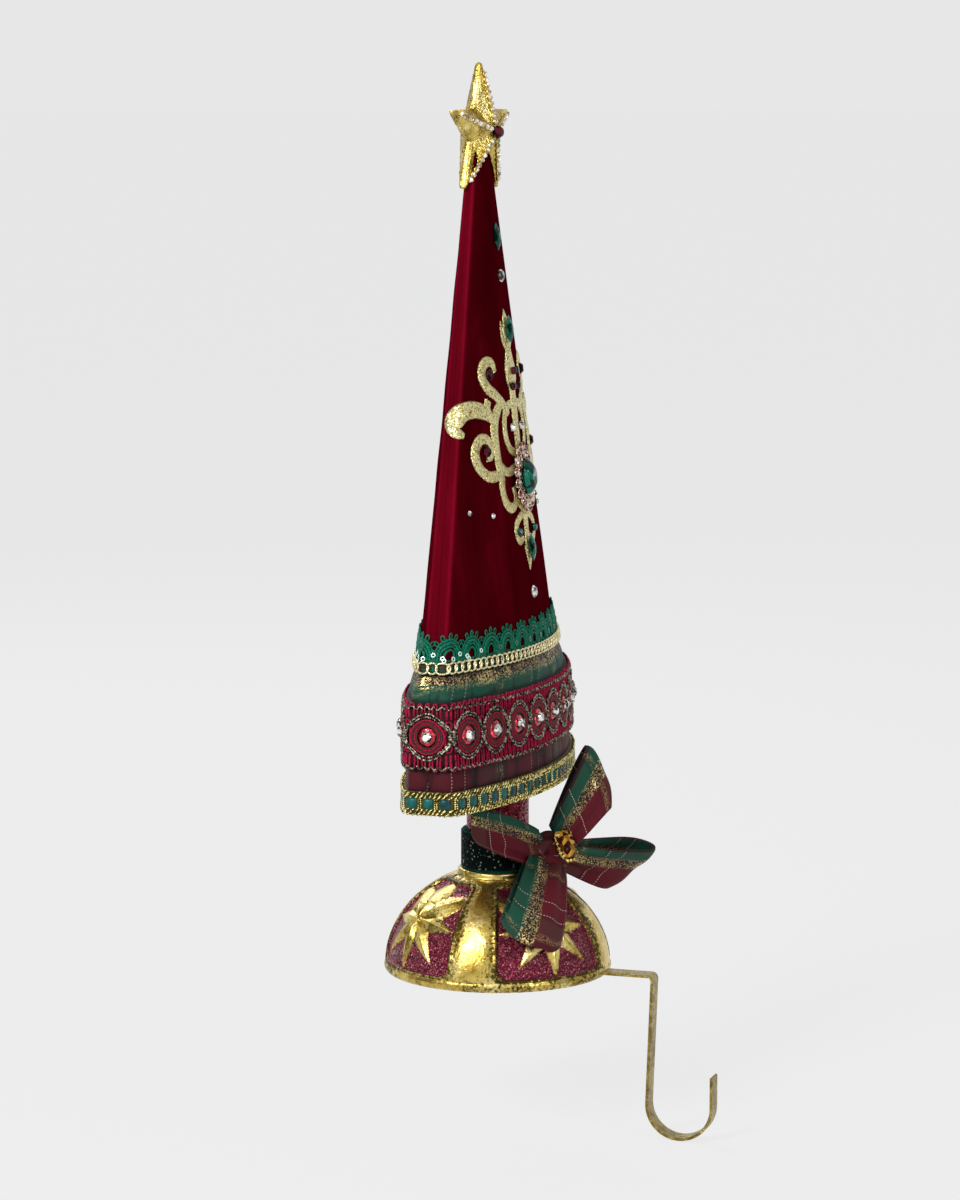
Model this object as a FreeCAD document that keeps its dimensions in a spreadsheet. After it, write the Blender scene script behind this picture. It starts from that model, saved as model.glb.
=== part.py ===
import FreeCAD, Part
import Sketcher
import math
import os
import re

from FreeCAD import Placement, Rotation, Vector

# Mantel stocking holder: a velvet covered tree on a trunk and a round weighted base,
# with a strip hook that reaches over the mantel's front edge.
# Millimetres, +Z up, front towards -Y, origin at the middle of the base's underside.

os.makedirs("parts", exist_ok=True)
doc = FreeCAD.newDocument("stocking_holder")

# Driving dimensions
DIMENSIONS = [
    # Base casting: a hollow dome with a rolled rim, a neck lip and four recessed panels
    ("base_radius", 53.0),
    ("rim_radius", 2.8),
    ("dome_inset", 0.8),
    ("dome_rise", 45.6),
    ("dome_wall", 3.2),
    ("lip_radius", 18.6),
    ("base_height", 48.7),
    ("lip_depth", 8.0),
    ("lip_round", 1.2),
    ("panel_angle", 60.0),
    ("panel_depth", 1.2),
    ("panel_low", 6.0),
    ("panel_high", 43.5),
    ("relief_height", 29.0),
    ("relief_rise", 1.6),
    ("relief_waist", 8.5),
    ("relief_down", 25.0),
    ("relief_side", 17.5),
    ("relief_up", 15.0),
    ("relief_root", 0.9),
    # Weight, felt and fixings under the dome
    ("weight_radius", 44.5),
    ("weight_thickness", 12.0),
    ("felt_radius", 47.2),
    ("felt_thickness", 1.5),
    ("screw_radius", 2.0),
    ("screw_head_radius", 4.0),
    ("screw_head_height", 0.9),
    ("screw_length", 9.0),
    ("screw_spacing", 12.0),
    ("screw_inset", 5.0),
    ("rod_radius", 3.0),
    ("rod_spare", 3.0),
    ("nut_width", 10.0),
    ("nut_height", 5.0),
    ("washer_radius", 8.0),
    ("washer_thickness", 1.2),
    ("counterbore_radius", 9.0),
    ("pocket_spare", 4.0),
    # Stocking hook: one bent strip
    ("strip_width", 8.6),
    ("strip_thickness", 1.4),
    ("arm_start", 20.0),
    ("hook_reach", 76.8),
    ("hook_drop", 73.6),
    ("hook_lean", 2.2),
    ("hook_bend_radius", 15.4),
    ("corner_bend_radius", 2.2),
    ("hook_tip_length", 14.3),
    # Trunk and collar
    ("trunk_radius", 14.5),
    ("collar_radius", 17.1),
    ("collar_height", 18.3),
    ("collar_edge", 0.8),
    # Tree, as outer sizes of its covering at the foot, hip, shoulder and tip
    ("tree_foot", 89.5),
    ("foot_half_width", 87.2),
    ("foot_half_depth", 28.8),
    ("foot_side", 9.5),
    ("tree_hip", 136.0),
    ("hip_half_width", 85.2),
    ("hip_half_depth", 28.0),
    ("hip_side", 8.0),
    ("tree_shoulder", 150.0),
    ("shoulder_half_width", 78.5),
    ("shoulder_half_depth", 24.6),
    ("shoulder_side", 5.0),
    ("tree_tip", 380.0),
    ("tip_half_width", 10.8),
    ("tip_half_depth", 3.7),
    ("tip_side", 2.0),
    ("lean_offset", 1.75),
    ("lean_per_height", 0.02),
    ("velvet_thickness", 1.2),
    ("skirt_thickness", 1.4),
    ("pleat_count", 60),
    ("pleat_depth", 0.6),
    ("board_thickness", 6.0),
    # Trims round the skirt and the foot of the velvet
    ("hem_height", 10.6),
    ("hem_drop", 1.3),
    ("hem_thickness", 1.0),
    ("hem_cord_rise", 0.9),
    ("hem_cord_height", 2.2),
    ("cabochon_pitch", 7.6),
    ("cabochon_width", 4.8),
    ("cabochon_height", 5.0),
    ("cabochon_rise", 1.1),
    ("band_low", 108.6),
    ("band_height", 29.6),
    ("band_thickness", 1.0),
    ("medallion_pitch", 19.8),
    ("medallion_radius", 8.9),
    ("medallion_cord_width", 1.4),
    ("medallion_cord_rise", 1.0),
    ("inner_cord_radius", 6.4),
    ("foil_radius", 4.3),
    ("foil_thickness", 0.8),
    ("stone_radius", 2.8),
    ("stone_rise", 2.2),
    ("chain_height", 5.0),
    ("chain_thickness", 1.4),
    ("lace_height", 15.5),
    ("lace_band_height", 7.5),
    ("lace_thickness", 0.7),
    ("lace_tip", 0.4),
    ("lace_pitch", 14.8),
    ("sequin_radius", 2.1),
    ("sequin_hole_radius", 0.7),
    ("sequin_thickness", 0.4),
    ("sequin_place", 8.5),
    # Scrollwork and gems on the front of the velvet
    ("scroll_thickness", 1.3),
    ("scroll_height", 247.0),
    ("scroll_reach", 66.0),
    ("filigree_radius", 11.5),
    ("filigree_thickness", 0.9),
    ("oval_gem_height", 17.0),
    ("oval_gem_width", 12.5),
    ("oval_gem_rise", 4.6),
    ("oval_gem_place", 231.5),
    ("marquise_length", 13.0),
    ("marquise_width", 6.6),
    ("marquise_rise", 2.2),
    ("marquise_table", 0.3),
    ("marquise_top_place", 341.0),
    ("marquise_upper_place", 299.0),
    ("marquise_lower_place", 199.0),
    ("round_gem_radius", 2.7),
    ("round_gem_rise", 2.0),
    ("small_gem_radius", 2.0),
    ("crystal_radius", 2.5),
    ("crystal_stretch", 1.25),
    ("speck_radius", 1.4),
    ("table_share", 0.58),
    # Star on the tip
    ("star_radius", 31.4),
    ("star_height", 388.5),
    ("star_thickness", 17.6),
    ("star_edge", 2.4),
    ("star_waist_share", 0.4),
    ("star_turn", 6.0),
    ("star_gem_radius", 3.3),
    ("star_gem_rise", 3.0),
    ("chain_stone_radius", 1.15),
    ("chain_stone_pitch", 2.75),
    ("pin_radius", 1.5),
    ("pin_length", 24.0),
    ("pin_drop", 26.0),
    # Ribbon bow with its jewel
    ("bow_height", 57.5),
    ("knot_radius", 8.0),
    ("knot_gap", 0.3),
    ("ribbon_width", 29.0),
    ("ribbon_gather", 7.0),
    ("ribbon_thickness", 1.0),
    ("ribbon_spread", 1.45),
    ("loop_fullness", 6.5),
    ("jewel_width", 9.0),
    ("jewel_height", 13.0),
    ("jewel_rise", 4.0),
    ("jewel_tilt", 20.0),
    ("setting_thickness", 1.0),
    # Clearances
    ("fit_gap", 0.2),
    ("seat_gap", 0.15),
]
sheet = doc.addObject("Spreadsheet::Sheet", "sizes")
for row, (alias, value) in enumerate(DIMENSIONS, start=1):
    sheet.set("A%d" % row, str(value))
    sheet.setAlias("A%d" % row, alias)
doc.recompute()

nodes = []


def size(alias):
    return float(sheet.get(alias))


def keep(thing, label):
    thing.Label = label
    nodes.append(thing)
    return thing


def solid_node(label, shape):
    feature = doc.addObject("Part::Feature", label)
    where = shape.Placement
    feature.Shape = shape
    feature.Placement = where
    return keep(feature, label)


def bind(thing, what, expression):
    # sizes are written by their bare names, and here each gets the sheet's name in front
    thing.setExpression(what, re.sub(r"([a-z][a-z_]+)", r"sizes.\1", expression))


# Plain solids whose sizes and places are expressions on the sheet
def cylinder(name, radius, height, low, across="0", along="0"):
    thing = doc.addObject("Part::Cylinder", name)
    bind(thing, "Radius", radius)
    bind(thing, "Height", height)
    place(thing, across, along, low)
    return thing


def block(name, length, width, height, across, along, low):
    thing = doc.addObject("Part::Box", name)
    bind(thing, "Length", length)
    bind(thing, "Width", width)
    bind(thing, "Height", height)
    place(thing, across, along, low)
    return thing


def place(thing, across, along, low):
    for axis, expression in (("x", across), ("y", along), ("z", low)):
        bind(thing, "Placement.Base." + axis, expression)


def union(name, things):
    if len(things) == 1:
        return things[0]
    joined = doc.addObject("Part::MultiFuse", name)
    joined.Shapes = things
    return joined


def cut(label, base, tools):
    thing = doc.addObject("Part::Cut", label)
    thing.Base = base
    thing.Tool = union(label + "_tools", tools)
    return thing


# Sketched pieces: every corner is a pair of expressions on the sheet
def polygon_sketch(body, role, corners):
    sketch = body.newObject("Sketcher::SketchObject", body.Name + "_outline")
    plane = [item for item in body.Origin.OriginFeatures if item.Role == role][0]
    sketch.AttachmentSupport = [(plane, "")]
    sketch.MapMode = "FlatFace"
    places = []
    for across, along in corners:
        places.append(Vector(sheet.evalExpression(across), sheet.evalExpression(along), 0))
    count = len(places)
    for index, place in enumerate(places):
        sketch.addGeometry(Part.LineSegment(place, places[(index + 1) % count]))
    for index in range(count):
        sketch.addConstraint(Sketcher.Constraint("Coincident", index, 2, (index + 1) % count, 1))
    for index, (across, along) in enumerate(corners):
        pin_corner(sketch, index, "DistanceX", -2, across, places[index].x)
        pin_corner(sketch, index, "DistanceY", -1, along, places[index].y)
    return sketch


def pin_corner(sketch, index, kind, axis, expression, start):
    if expression == "0":
        sketch.addConstraint(Sketcher.Constraint("PointOnObject", index, 1, axis))
        return
    place = sketch.addConstraint(Sketcher.Constraint(kind, -1, 1, index, 1, start))
    bind(sketch, "Constraints[%d]" % place, expression)


def turned(label, corners):
    body = doc.addObject("PartDesign::Body", label)
    outline = polygon_sketch(body, "XZ_Plane", corners)
    revolution = body.newObject("PartDesign::Revolution", label + "_turn")
    revolution.Profile = outline
    revolution.ReferenceAxis = (outline, ["V_Axis"])
    revolution.Angle = 360
    return body


# Plan of the tree: two shallow arcs front and back, and a narrow flat at each side
STATIONS = ["foot", "hip", "shoulder", "tip"]


def station_heights():
    return [size("tree_" + name) for name in STATIONS]


def plan_at(height, outward=0.0):
    heights = station_heights()
    upper = 1
    while upper < len(heights) - 1 and height > heights[upper]:
        upper += 1
    low, high = STATIONS[upper - 1], STATIONS[upper]
    share = (height - heights[upper - 1]) / (heights[upper] - heights[upper - 1])

    def between(what):
        start = size(low + what)
        return start + (size(high + what) - start) * share

    half_width = between("_half_width") + outward
    half_depth = between("_half_depth") + outward
    side = between("_side") + outward * 0.6
    centre = size("lean_offset") + size("lean_per_height") * height
    return half_width, half_depth, side, centre


def plan_wire(height, outward=0.0):
    half_width, half_depth, side, centre = plan_at(height, outward)
    front_left = Vector(-half_width, centre - side, height)
    front = Vector(0, centre - half_depth, height)
    front_right = Vector(half_width, centre - side, height)
    back_right = Vector(half_width, centre + side, height)
    back = Vector(0, centre + half_depth, height)
    back_left = Vector(-half_width, centre + side, height)
    edges = [
        Part.Arc(front_left, front, front_right).toShape(),
        Part.makeLine(front_right, back_right),
        Part.Arc(back_right, back, back_left).toShape(),
        Part.makeLine(back_left, front_left),
    ]
    return Part.Wire(edges)


def tree_block(low, high, outward=0.0):
    heights = [low] + [item for item in station_heights() if low + 0.5 < item < high - 0.5] + [high]
    block = None
    for start, end in zip(heights, heights[1:]):
        piece = Part.makeLoft([plan_wire(start, outward), plan_wire(end, outward)], True, True)
        block = piece if block is None else block.fuse(piece)
    return block


def wrap(low, high, inner, outer):
    return tree_block(low, high, outer).cut(tree_block(low - 1.0, high + 1.0, inner))


# Places round the tree: point, outward direction and direction along the trim
def places_round(height, outward, pitch, shift=0.0):
    wire = plan_wire(height, outward)
    above = plan_wire(height + 1.0, outward)
    fine = wire.discretize(Number=1441)[:-1]
    fine_above = above.discretize(Number=1441)[:-1]
    count = max(4, 2 * round(wire.Length / pitch / 2))
    # the left side's middle is half of the last edge before the wire's start
    start = -(wire.Edges[3].Length / 2) / wire.Length + shift / count
    places = []
    for index in range(count):
        here = round((start + index / count) * 1440) % 1440
        point = fine[here]
        along = fine[(here + 3) % 1440] - fine[(here - 3) % 1440]
        along.normalize()
        rise = fine_above[here] - point
        normal = along.cross(rise)
        normal.normalize()
        places.append((point, normal, along))
    return places


def facing(point, normal, along):
    # local Z looks out along the normal and local X runs along the trim
    third = normal.cross(along)
    third.normalize()
    first = third.cross(normal)
    return Placement(point, Rotation(first, third, normal, "ZXY"))


# Front of the tree: place and outward direction above a point of the front view
def front_place(across, height, outward=0.0):
    def depth_at(x_place, z_place):
        half_width, half_depth, side, centre = plan_at(z_place, outward)
        bulge = half_depth - side
        radius = (half_width ** 2 + bulge ** 2) / (2 * bulge)
        return centre - half_depth + radius - math.sqrt(radius ** 2 - x_place ** 2)

    here = Vector(across, depth_at(across, height), height)
    beside = Vector(across + 1, depth_at(across + 1, height), height) - here
    above = Vector(across, depth_at(across, height + 1), height + 1) - here
    normal = beside.cross(above)
    normal.normalize()
    beside.normalize()
    return here, normal, beside


# Gems: an outline round the origin, drawn in to a flat table
def cut_gem(outline, rise, table=None):
    share = size("table_share") if table is None else table
    waist = rise * 0.3
    foot_share = 0.86
    closed = outline + [outline[0]]
    rings = []
    for height, scale in ((0.0, foot_share), (waist, 1.0), (rise, share)):
        points = [Vector(point.x * scale, point.y * scale, height) for point in closed]
        rings.append(Part.makePolygon(points))
    return Part.makeLoft(rings, True, True)


def oval_outline(width, height, sides):
    points = []
    for index in range(sides):
        angle = 2 * math.pi * (index + 0.5) / sides
        points.append(Vector(width / 2 * math.cos(angle), height / 2 * math.sin(angle), 0))
    return points


def marquise_outline(width, length):
    steps = 5
    right = []
    for index in range(steps):
        share = index / steps
        along = -length / 2 + length * share
        right.append(Vector(width / 2 * math.sin(math.pi * share), along, 0))
    left = [Vector(-point.x, -point.y, 0) for point in right]
    return right + left


def gem_on_front(outline, rise, across, height, outward, table=None):
    point, normal, along = front_place(across, height, outward)
    gem = cut_gem(outline, rise, table)
    gem.Placement = facing(point, normal, along)
    return gem


# Base casting
def ellipse_profile(radius, rise, centre):
    angles = [math.radians(90.0 * index / 12) for index in range(13)]
    points = [Vector(radius * math.cos(a), 0, centre + rise * math.sin(a)) for a in angles]
    curve = Part.BSplineCurve()
    curve.interpolate(points)
    return curve.toShape(), points[0], points[-1]


def dome_solid(inset):
    radius = size("base_radius") - size("dome_inset") - inset
    centre = size("rim_radius")
    curve, foot, top = ellipse_profile(radius, size("dome_rise") - inset, centre)
    low = Vector(0, 0, centre)
    wire = Part.Wire([Part.makeLine(low, foot), curve, Part.makeLine(top, low)])
    return Part.Face(wire).revolve(Vector(), Vector(0, 0, 1), 360)


def dome_point(azimuth, height, inset):
    radius = size("base_radius") - size("dome_inset") - inset
    rise = size("dome_rise") - inset
    share = min(1.0, (height - size("rim_radius")) / rise)
    reach = radius * math.sqrt(max(0.0, 1 - share ** 2))
    return Vector(reach * math.cos(azimuth), reach * math.sin(azimuth), height)


def panel_cutter(azimuth):
    outer = dome_solid(-2.0)
    inner = dome_solid(size("panel_depth"))
    low, high = size("panel_low"), size("panel_high")
    half = math.radians(size("panel_angle") / 2)
    reach = size("base_radius") * 2
    corners = [Vector(0, 0, low)]
    for share in (-1.0, -0.33, 0.33, 1.0):
        angle = azimuth + half * share
        corners.append(Vector(reach * math.cos(angle), reach * math.sin(angle), low))
    corners.append(corners[0])
    sector = Part.Face(Part.makePolygon(corners)).extrude(Vector(0, 0, high - low))
    return outer.cut(inner).common(sector)


def relief_star(azimuth):
    # eight ridged points laid along the floor of a panel, rooted in the wall below it
    floor = size("panel_depth")
    outer_floor = floor - 0.1
    root = floor + size("relief_root")
    centre = dome_point(azimuth, size("relief_height"), 0)
    outward = Vector(centre.x, centre.y, (centre.z - size("rim_radius")) * 1.3)
    outward.normalize()
    across = Vector(-math.sin(azimuth), math.cos(azimuth), 0)
    upward = outward.cross(across)
    side, up, down = size("relief_side"), size("relief_up"), size("relief_down")
    lengths = [side, up * 1.2, up, up * 1.2, side, down, down * 0.95, down]
    waist = size("relief_waist")
    steps = (0.3, 0.65)

    def laid(reach, sideways, turn, inset):
        angle = math.radians(turn)
        ahead = across * math.cos(angle) + upward * math.sin(angle)
        beside = upward * math.cos(angle) - across * math.sin(angle)
        return on_dome(centre + ahead * reach + beside * sideways, inset)

    valley_half = waist * math.sin(math.radians(22.5))
    valley_reach = waist * math.cos(math.radians(22.5))
    faces = []
    for index, length in enumerate(lengths):
        turn = 45 * index
        rows = []
        for share in (0.0,) + steps + (1.0,):
            half = valley_half * (1 - share)
            reach = valley_reach + (length - valley_reach) * share
            ridge_reach = length * share
            crest = floor - 0.2 - (size("relief_rise") - 0.2) * (1 - share)
            rows.append((ridge_reach, reach, half, crest))
        for sign in (1, -1):
            for inner, outer in zip(rows, rows[1:]):
                ridge_in = laid(inner[0], 0, turn, inner[3])
                ridge_out = laid(outer[0], 0, turn, outer[3])
                edge_in = laid(inner[1], sign * inner[2], turn, outer_floor)
                edge_out = laid(outer[1], sign * outer[2], turn, outer_floor)
                low_in = laid(inner[1], sign * inner[2], turn, root)
                low_out = laid(outer[1], sign * outer[2], turn, root)
                keel_in = laid(inner[0], 0, turn, root)
                keel_out = laid(outer[0], 0, turn, root)
                last = outer[2] == 0
                tip = laid(outer[1], 0, turn, outer_floor) if last else edge_out
                faces.append(triangle(ridge_in, edge_in, ridge_out if not last else tip))
                faces.append(triangle(keel_in, low_in, keel_out if not last else low_out))
                if not last:
                    faces.append(triangle(ridge_out, edge_in, edge_out))
                    faces.append(triangle(keel_out, low_in, low_out))
                faces.append(triangle(edge_in, low_in, low_out))
                faces.append(triangle(edge_in, low_out, tip))
    shell = Part.Shell(faces)
    shell.sewShape()
    return Part.Solid(shell)


def on_dome(point, inset):
    # the same direction from the dome's centre, at the given depth below its face
    centre = Vector(0, 0, size("rim_radius"))
    ray = point - centre
    radius = size("base_radius") - size("dome_inset") - inset
    rise = size("dome_rise") - inset
    flat = math.hypot(ray.x, ray.y)
    scale = 1 / math.sqrt((flat / radius) ** 2 + (ray.z / rise) ** 2)
    return centre + ray * scale


def triangle(first, second, third):
    return Part.Face(Part.makePolygon([first, second, third, first]))


def base_dome():
    rim = size("rim_radius")
    bead = Part.makeTorus(size("base_radius") - rim, rim, Vector(0, 0, rim))
    body = dome_solid(0.0)
    for quarter in range(4):
        azimuth = math.radians(45 + 90 * quarter)
        body = body.cut(panel_cutter(azimuth))
    lip_top = size("base_height")
    lip_low = Vector(0, 0, lip_top - size("lip_depth"))
    lip = Part.makeCylinder(size("lip_radius"), size("lip_depth"), lip_low)
    top_edges = [edge for edge in lip.Edges if edge.BoundBox.ZMin > lip_top - 1]
    lip = lip.makeFillet(size("lip_round"), top_edges[:1])
    body = body.fuse(bead).fuse(lip)
    hollow = dome_solid(size("dome_wall"))
    throat = Part.makeCylinder(size("base_radius") - 2 * rim, rim + 1, Vector(0, 0, -1))
    rod_hole = Part.makeCylinder(size("rod_radius") + size("fit_gap"), size("base_height") + 5)
    body = body.cut(hollow).cut(throat).cut(rod_hole)
    for quarter in range(4):
        body = body.fuse(relief_star(math.radians(45 + 90 * quarter)))
    # a notch through the rim's underside for the hook's arm
    gap = size("fit_gap")
    arm_low = size("felt_thickness")
    notch_high = arm_low + size("strip_thickness") + gap
    notch = Part.makeBox(
        size("strip_width") + 2 * gap,
        size("base_radius"),
        notch_high + 1,
        Vector(-size("strip_width") / 2 - gap, -size("base_radius") - 1, -1),
    )
    return body.cut(notch).Solids[0]


solid_node("base_dome", base_dome())


# Weight, felt, fixings and the rod that ties base, trunk and tree together
slot_gap = "strip_width + 2 * fit_gap"
screw_rows = ["-arm_start - screw_inset", "-arm_start - screw_inset - screw_spacing"]
keep(cut("base_weight", cylinder("weight_disc", "weight_radius", "weight_thickness", "felt_thickness"), [
    cylinder("weight_bore", "rod_radius + fit_gap", "weight_thickness + 2", "felt_thickness - 1"),
    cylinder("weight_counterbore", "counterbore_radius", "nut_height + washer_thickness + 2",
             "felt_thickness - 1"),
    block("weight_slot", slot_gap, "weight_radius", "strip_thickness + fit_gap + 1",
          "-strip_width / 2 - fit_gap", "-arm_start - weight_radius + 1", "felt_thickness - 1"),
    cylinder("weight_tap_a", "screw_radius", "screw_length", "felt_thickness", "0", screw_rows[0]),
    cylinder("weight_tap_b", "screw_radius", "screw_length", "felt_thickness", "0", screw_rows[1]),
]), "base_weight")
keep(cut("felt_pad", cylinder("felt_disc", "felt_radius", "felt_thickness - fit_gap / 2", "0"), [
    cylinder("felt_hole_a", "screw_head_radius + fit_gap", "felt_thickness + 2", "-1", "0", screw_rows[0]),
    cylinder("felt_hole_b", "screw_head_radius + fit_gap", "felt_thickness + 2", "-1", "0", screw_rows[1]),
]), "felt_pad")
rod_top = "tree_foot + board_thickness + washer_thickness + nut_height + rod_spare"
keep(turned("centre_rod", [
    ("0", "felt_thickness + 1"),
    ("rod_radius", "felt_thickness + 1"),
    ("rod_radius", rod_top),
    ("0", rod_top),
]), "centre_rod")
keep(turned("trunk_post", [
    ("rod_radius + fit_gap", "base_height"),
    ("trunk_radius", "base_height"),
    ("trunk_radius", "tree_foot - seat_gap"),
    ("rod_radius + fit_gap", "tree_foot - seat_gap"),
]), "trunk_post")
keep(turned("trunk_collar", [
    ("trunk_radius + fit_gap", "base_height"),
    ("collar_radius - collar_edge", "base_height"),
    ("collar_radius", "base_height + collar_edge"),
    ("collar_radius", "base_height + collar_height - collar_edge"),
    ("collar_radius - collar_edge", "base_height + collar_height"),
    ("trunk_radius + fit_gap", "base_height + collar_height"),
]), "trunk_collar")


def nut_at(low):
    corner = size("nut_width") / math.sqrt(3)
    angles = [math.radians(60 * index) for index in range(7)]
    points = [Vector(corner * math.cos(a), corner * math.sin(a), low) for a in angles]
    hexagon = Part.Face(Part.makePolygon(points)).extrude(Vector(0, 0, size("nut_height")))
    bore = Part.makeCylinder(size("rod_radius"), size("nut_height") + 2, Vector(0, 0, low - 1))
    return hexagon.cut(bore)


def washer_at(low):
    ring = Part.makeCylinder(size("washer_radius"), size("washer_thickness"), Vector(0, 0, low))
    bore_radius = size("rod_radius") + size("fit_gap")
    return ring.cut(Part.makeCylinder(bore_radius, size("washer_thickness") + 2, Vector(0, 0, low - 1)))


board_top = size("tree_foot") + size("board_thickness")
lower_seat = size("felt_thickness") + size("nut_height") + size("washer_thickness") + 1
solid_node("rod_washers", Part.makeCompound([
    washer_at(lower_seat - size("washer_thickness")),
    washer_at(board_top),
]))
solid_node("rod_nuts", Part.makeCompound([
    nut_at(lower_seat - size("washer_thickness") - size("nut_height")),
    nut_at(board_top + size("washer_thickness")),
]))


def hook_screw(along):
    top = size("felt_thickness")
    head_low = Vector(0, along, top - size("screw_head_height"))
    head = Part.makeCylinder(size("screw_head_radius"), size("screw_head_height"), head_low)
    shank = Part.makeCylinder(size("screw_radius"), size("screw_length"), Vector(0, along, top))
    return head.fuse(shank).removeSplitter()


screw_places = [sheet.evalExpression(row) for row in screw_rows]
solid_node("hook_screws", Part.makeCompound([hook_screw(along) for along in screw_places]))


# Stocking hook: a strip bent along arcs in the side view
def hook_path(offset):
    # side view (along, up) of the strip's middle line, shifted by the offset to its left
    half = size("strip_thickness") / 2
    arm_z = size("felt_thickness") + half
    lean = math.radians(size("hook_lean"))
    corner = size("corner_bend_radius") + offset
    bend = size("hook_bend_radius") - offset
    arm_y = -size("hook_reach") + half
    down = Vector(0, math.sin(lean), -math.cos(lean))
    left = Vector(0, -math.cos(lean), -math.sin(lean))
    # corner from the arm into the leaning drop
    turn = math.pi / 2 - lean
    base = size("corner_bend_radius")
    corner_centre = Vector(0, arm_y + base, arm_z - base)
    arm_end = corner_centre + Vector(0, 0, corner)
    drop_start = corner_centre + left * corner
    middle_angle = math.pi / 2 + turn / 2
    arm_mid = corner_centre + Vector(0, math.cos(middle_angle), math.sin(middle_angle)) * corner
    # the drop runs down until the round bend's centre is level with its end
    low = -size("hook_drop") + half + size("hook_bend_radius")
    mid_start = corner_centre + left * base
    run = (mid_start.z - low) / math.cos(lean)
    bend_centre = mid_start + down * run + left * size("hook_bend_radius")
    drop_end = bend_centre - left * bend
    bend_low = bend_centre + Vector(0, 0, -bend)
    bend_end = bend_centre + Vector(0, -bend, 0)
    tip = bend_end + Vector(0, 0, size("hook_tip_length"))
    start = Vector(0, -size("arm_start"), arm_end.z)
    return start, arm_end, arm_mid, drop_start, drop_end, bend_low, bend_end, tip


def hook_edges(offset):
    start, arm_end, arm_mid, drop_start, drop_end, bend_low, bend_end, tip = hook_path(offset)
    return [
        Part.makeLine(start, arm_end),
        Part.Arc(arm_end, arm_mid, drop_start).toShape(),
        Part.makeLine(drop_start, drop_end),
        Part.Arc(drop_end, bend_low, bend_end).toShape(),
        Part.makeLine(bend_end, tip),
    ]


def stocking_hook():
    half = size("strip_thickness") / 2
    outer, inner = hook_edges(half), hook_edges(-half)
    outer_tip, inner_tip = outer[-1].Vertexes[-1].Point, inner[-1].Vertexes[-1].Point
    crown = (outer_tip + inner_tip) * 0.5 + Vector(0, 0, half)
    outer_start, inner_start = outer[0].Vertexes[0].Point, inner[0].Vertexes[0].Point
    edges = outer + inner
    edges.append(Part.Arc(outer_tip, crown, inner_tip).toShape())
    edges.append(Part.makeLine(outer_start, inner_start))
    side = Part.Face(Part.Wire(Part.__sortEdges__(edges)))
    width = size("strip_width")
    side.translate(Vector(-width / 2, 0, 0))
    strip = side.extrude(Vector(width, 0, 0))
    for along in screw_places:
        hole_radius = size("screw_radius") + size("fit_gap") / 2
        strip = strip.cut(Part.makeCylinder(hole_radius, 6, Vector(0, along, 0)))
    return strip


solid_node("stocking_hook", stocking_hook())


# Tree: board, core and coverings
def tree_board():
    outward = -size("skirt_thickness") - size("fit_gap")
    board = tree_block(size("tree_foot"), board_top, outward)
    return board.cut(Part.makeCylinder(size("rod_radius") + size("fit_gap"), board_top + 1))


def tree_core():
    gap = size("fit_gap")
    shoulder = size("tree_shoulder")
    lower = tree_block(board_top, shoulder, -size("skirt_thickness") - gap)
    upper = tree_block(shoulder, size("tree_tip") - size("velvet_thickness") - gap,
                       -size("velvet_thickness") - gap)
    pocket_depth = size("washer_thickness") + size("nut_height") + size("pocket_spare")
    pocket_low = Vector(0, 0, board_top - 1)
    pocket = Part.makeCylinder(size("counterbore_radius"), pocket_depth + 1, pocket_low)
    return lower.fuse(upper).cut(pocket).cut(star_pin_shape(size("fit_gap") / 2))


def star_pin_shape(gap=0.0):
    centre = size("lean_offset") + size("lean_per_height") * size("tree_tip")
    low = Vector(0, centre, size("star_height") - size("pin_drop"))
    return Part.makeCylinder(size("pin_radius") + gap, size("pin_length"), low)


def velvet_cover():
    shoulder, tip = size("tree_shoulder"), size("tree_tip")
    outer = tree_block(shoulder, tip, 0.0)
    inner = tree_block(shoulder - 1, tip - size("velvet_thickness"), -size("velvet_thickness"))
    return outer.cut(inner).cut(star_pin_shape(size("fit_gap") / 2))


def pleated_wire(height, depth):
    count = int(size("pleat_count")) * 2
    points = plan_wire(height).discretize(Number=count + 1)[:-1]
    moved = []
    for index, point in enumerate(points):
        along = points[(index + 1) % count] - points[index - 1]
        outward = along.cross(Vector(0, 0, 1))
        outward.normalize()
        moved.append(point + outward * (depth if index % 2 else 0.0))
    return Part.makePolygon(moved + [moved[0]])


def plaid_skirt():
    foot, hip = size("tree_foot"), size("tree_hip")
    top = size("tree_shoulder") - size("seat_gap")
    depth = size("pleat_depth")
    wires = [pleated_wire(foot, depth), pleated_wire(hip, depth), pleated_wire(top, depth)]
    outer = Part.makeLoft(wires, True, True)
    return outer.cut(tree_block(foot - 1, top + 1, -size("skirt_thickness")))


solid_node("tree_board", tree_board())
solid_node("tree_core", tree_core())
solid_node("velvet_cover", velvet_cover())
solid_node("plaid_skirt", plaid_skirt())


# Trims
trim_seat = size("pleat_depth") + size("seat_gap")


def hem_braid():
    low = size("tree_foot") - size("hem_drop")
    high = low + size("hem_height")
    face = trim_seat + size("hem_thickness")
    cord = face + size("hem_cord_rise")
    braid = wrap(low, high, trim_seat, face)
    for start in (low, high - size("hem_cord_height")):
        braid = braid.fuse(wrap(start, start + size("hem_cord_height"), trim_seat, cord))
    return braid.removeSplitter()


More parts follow.
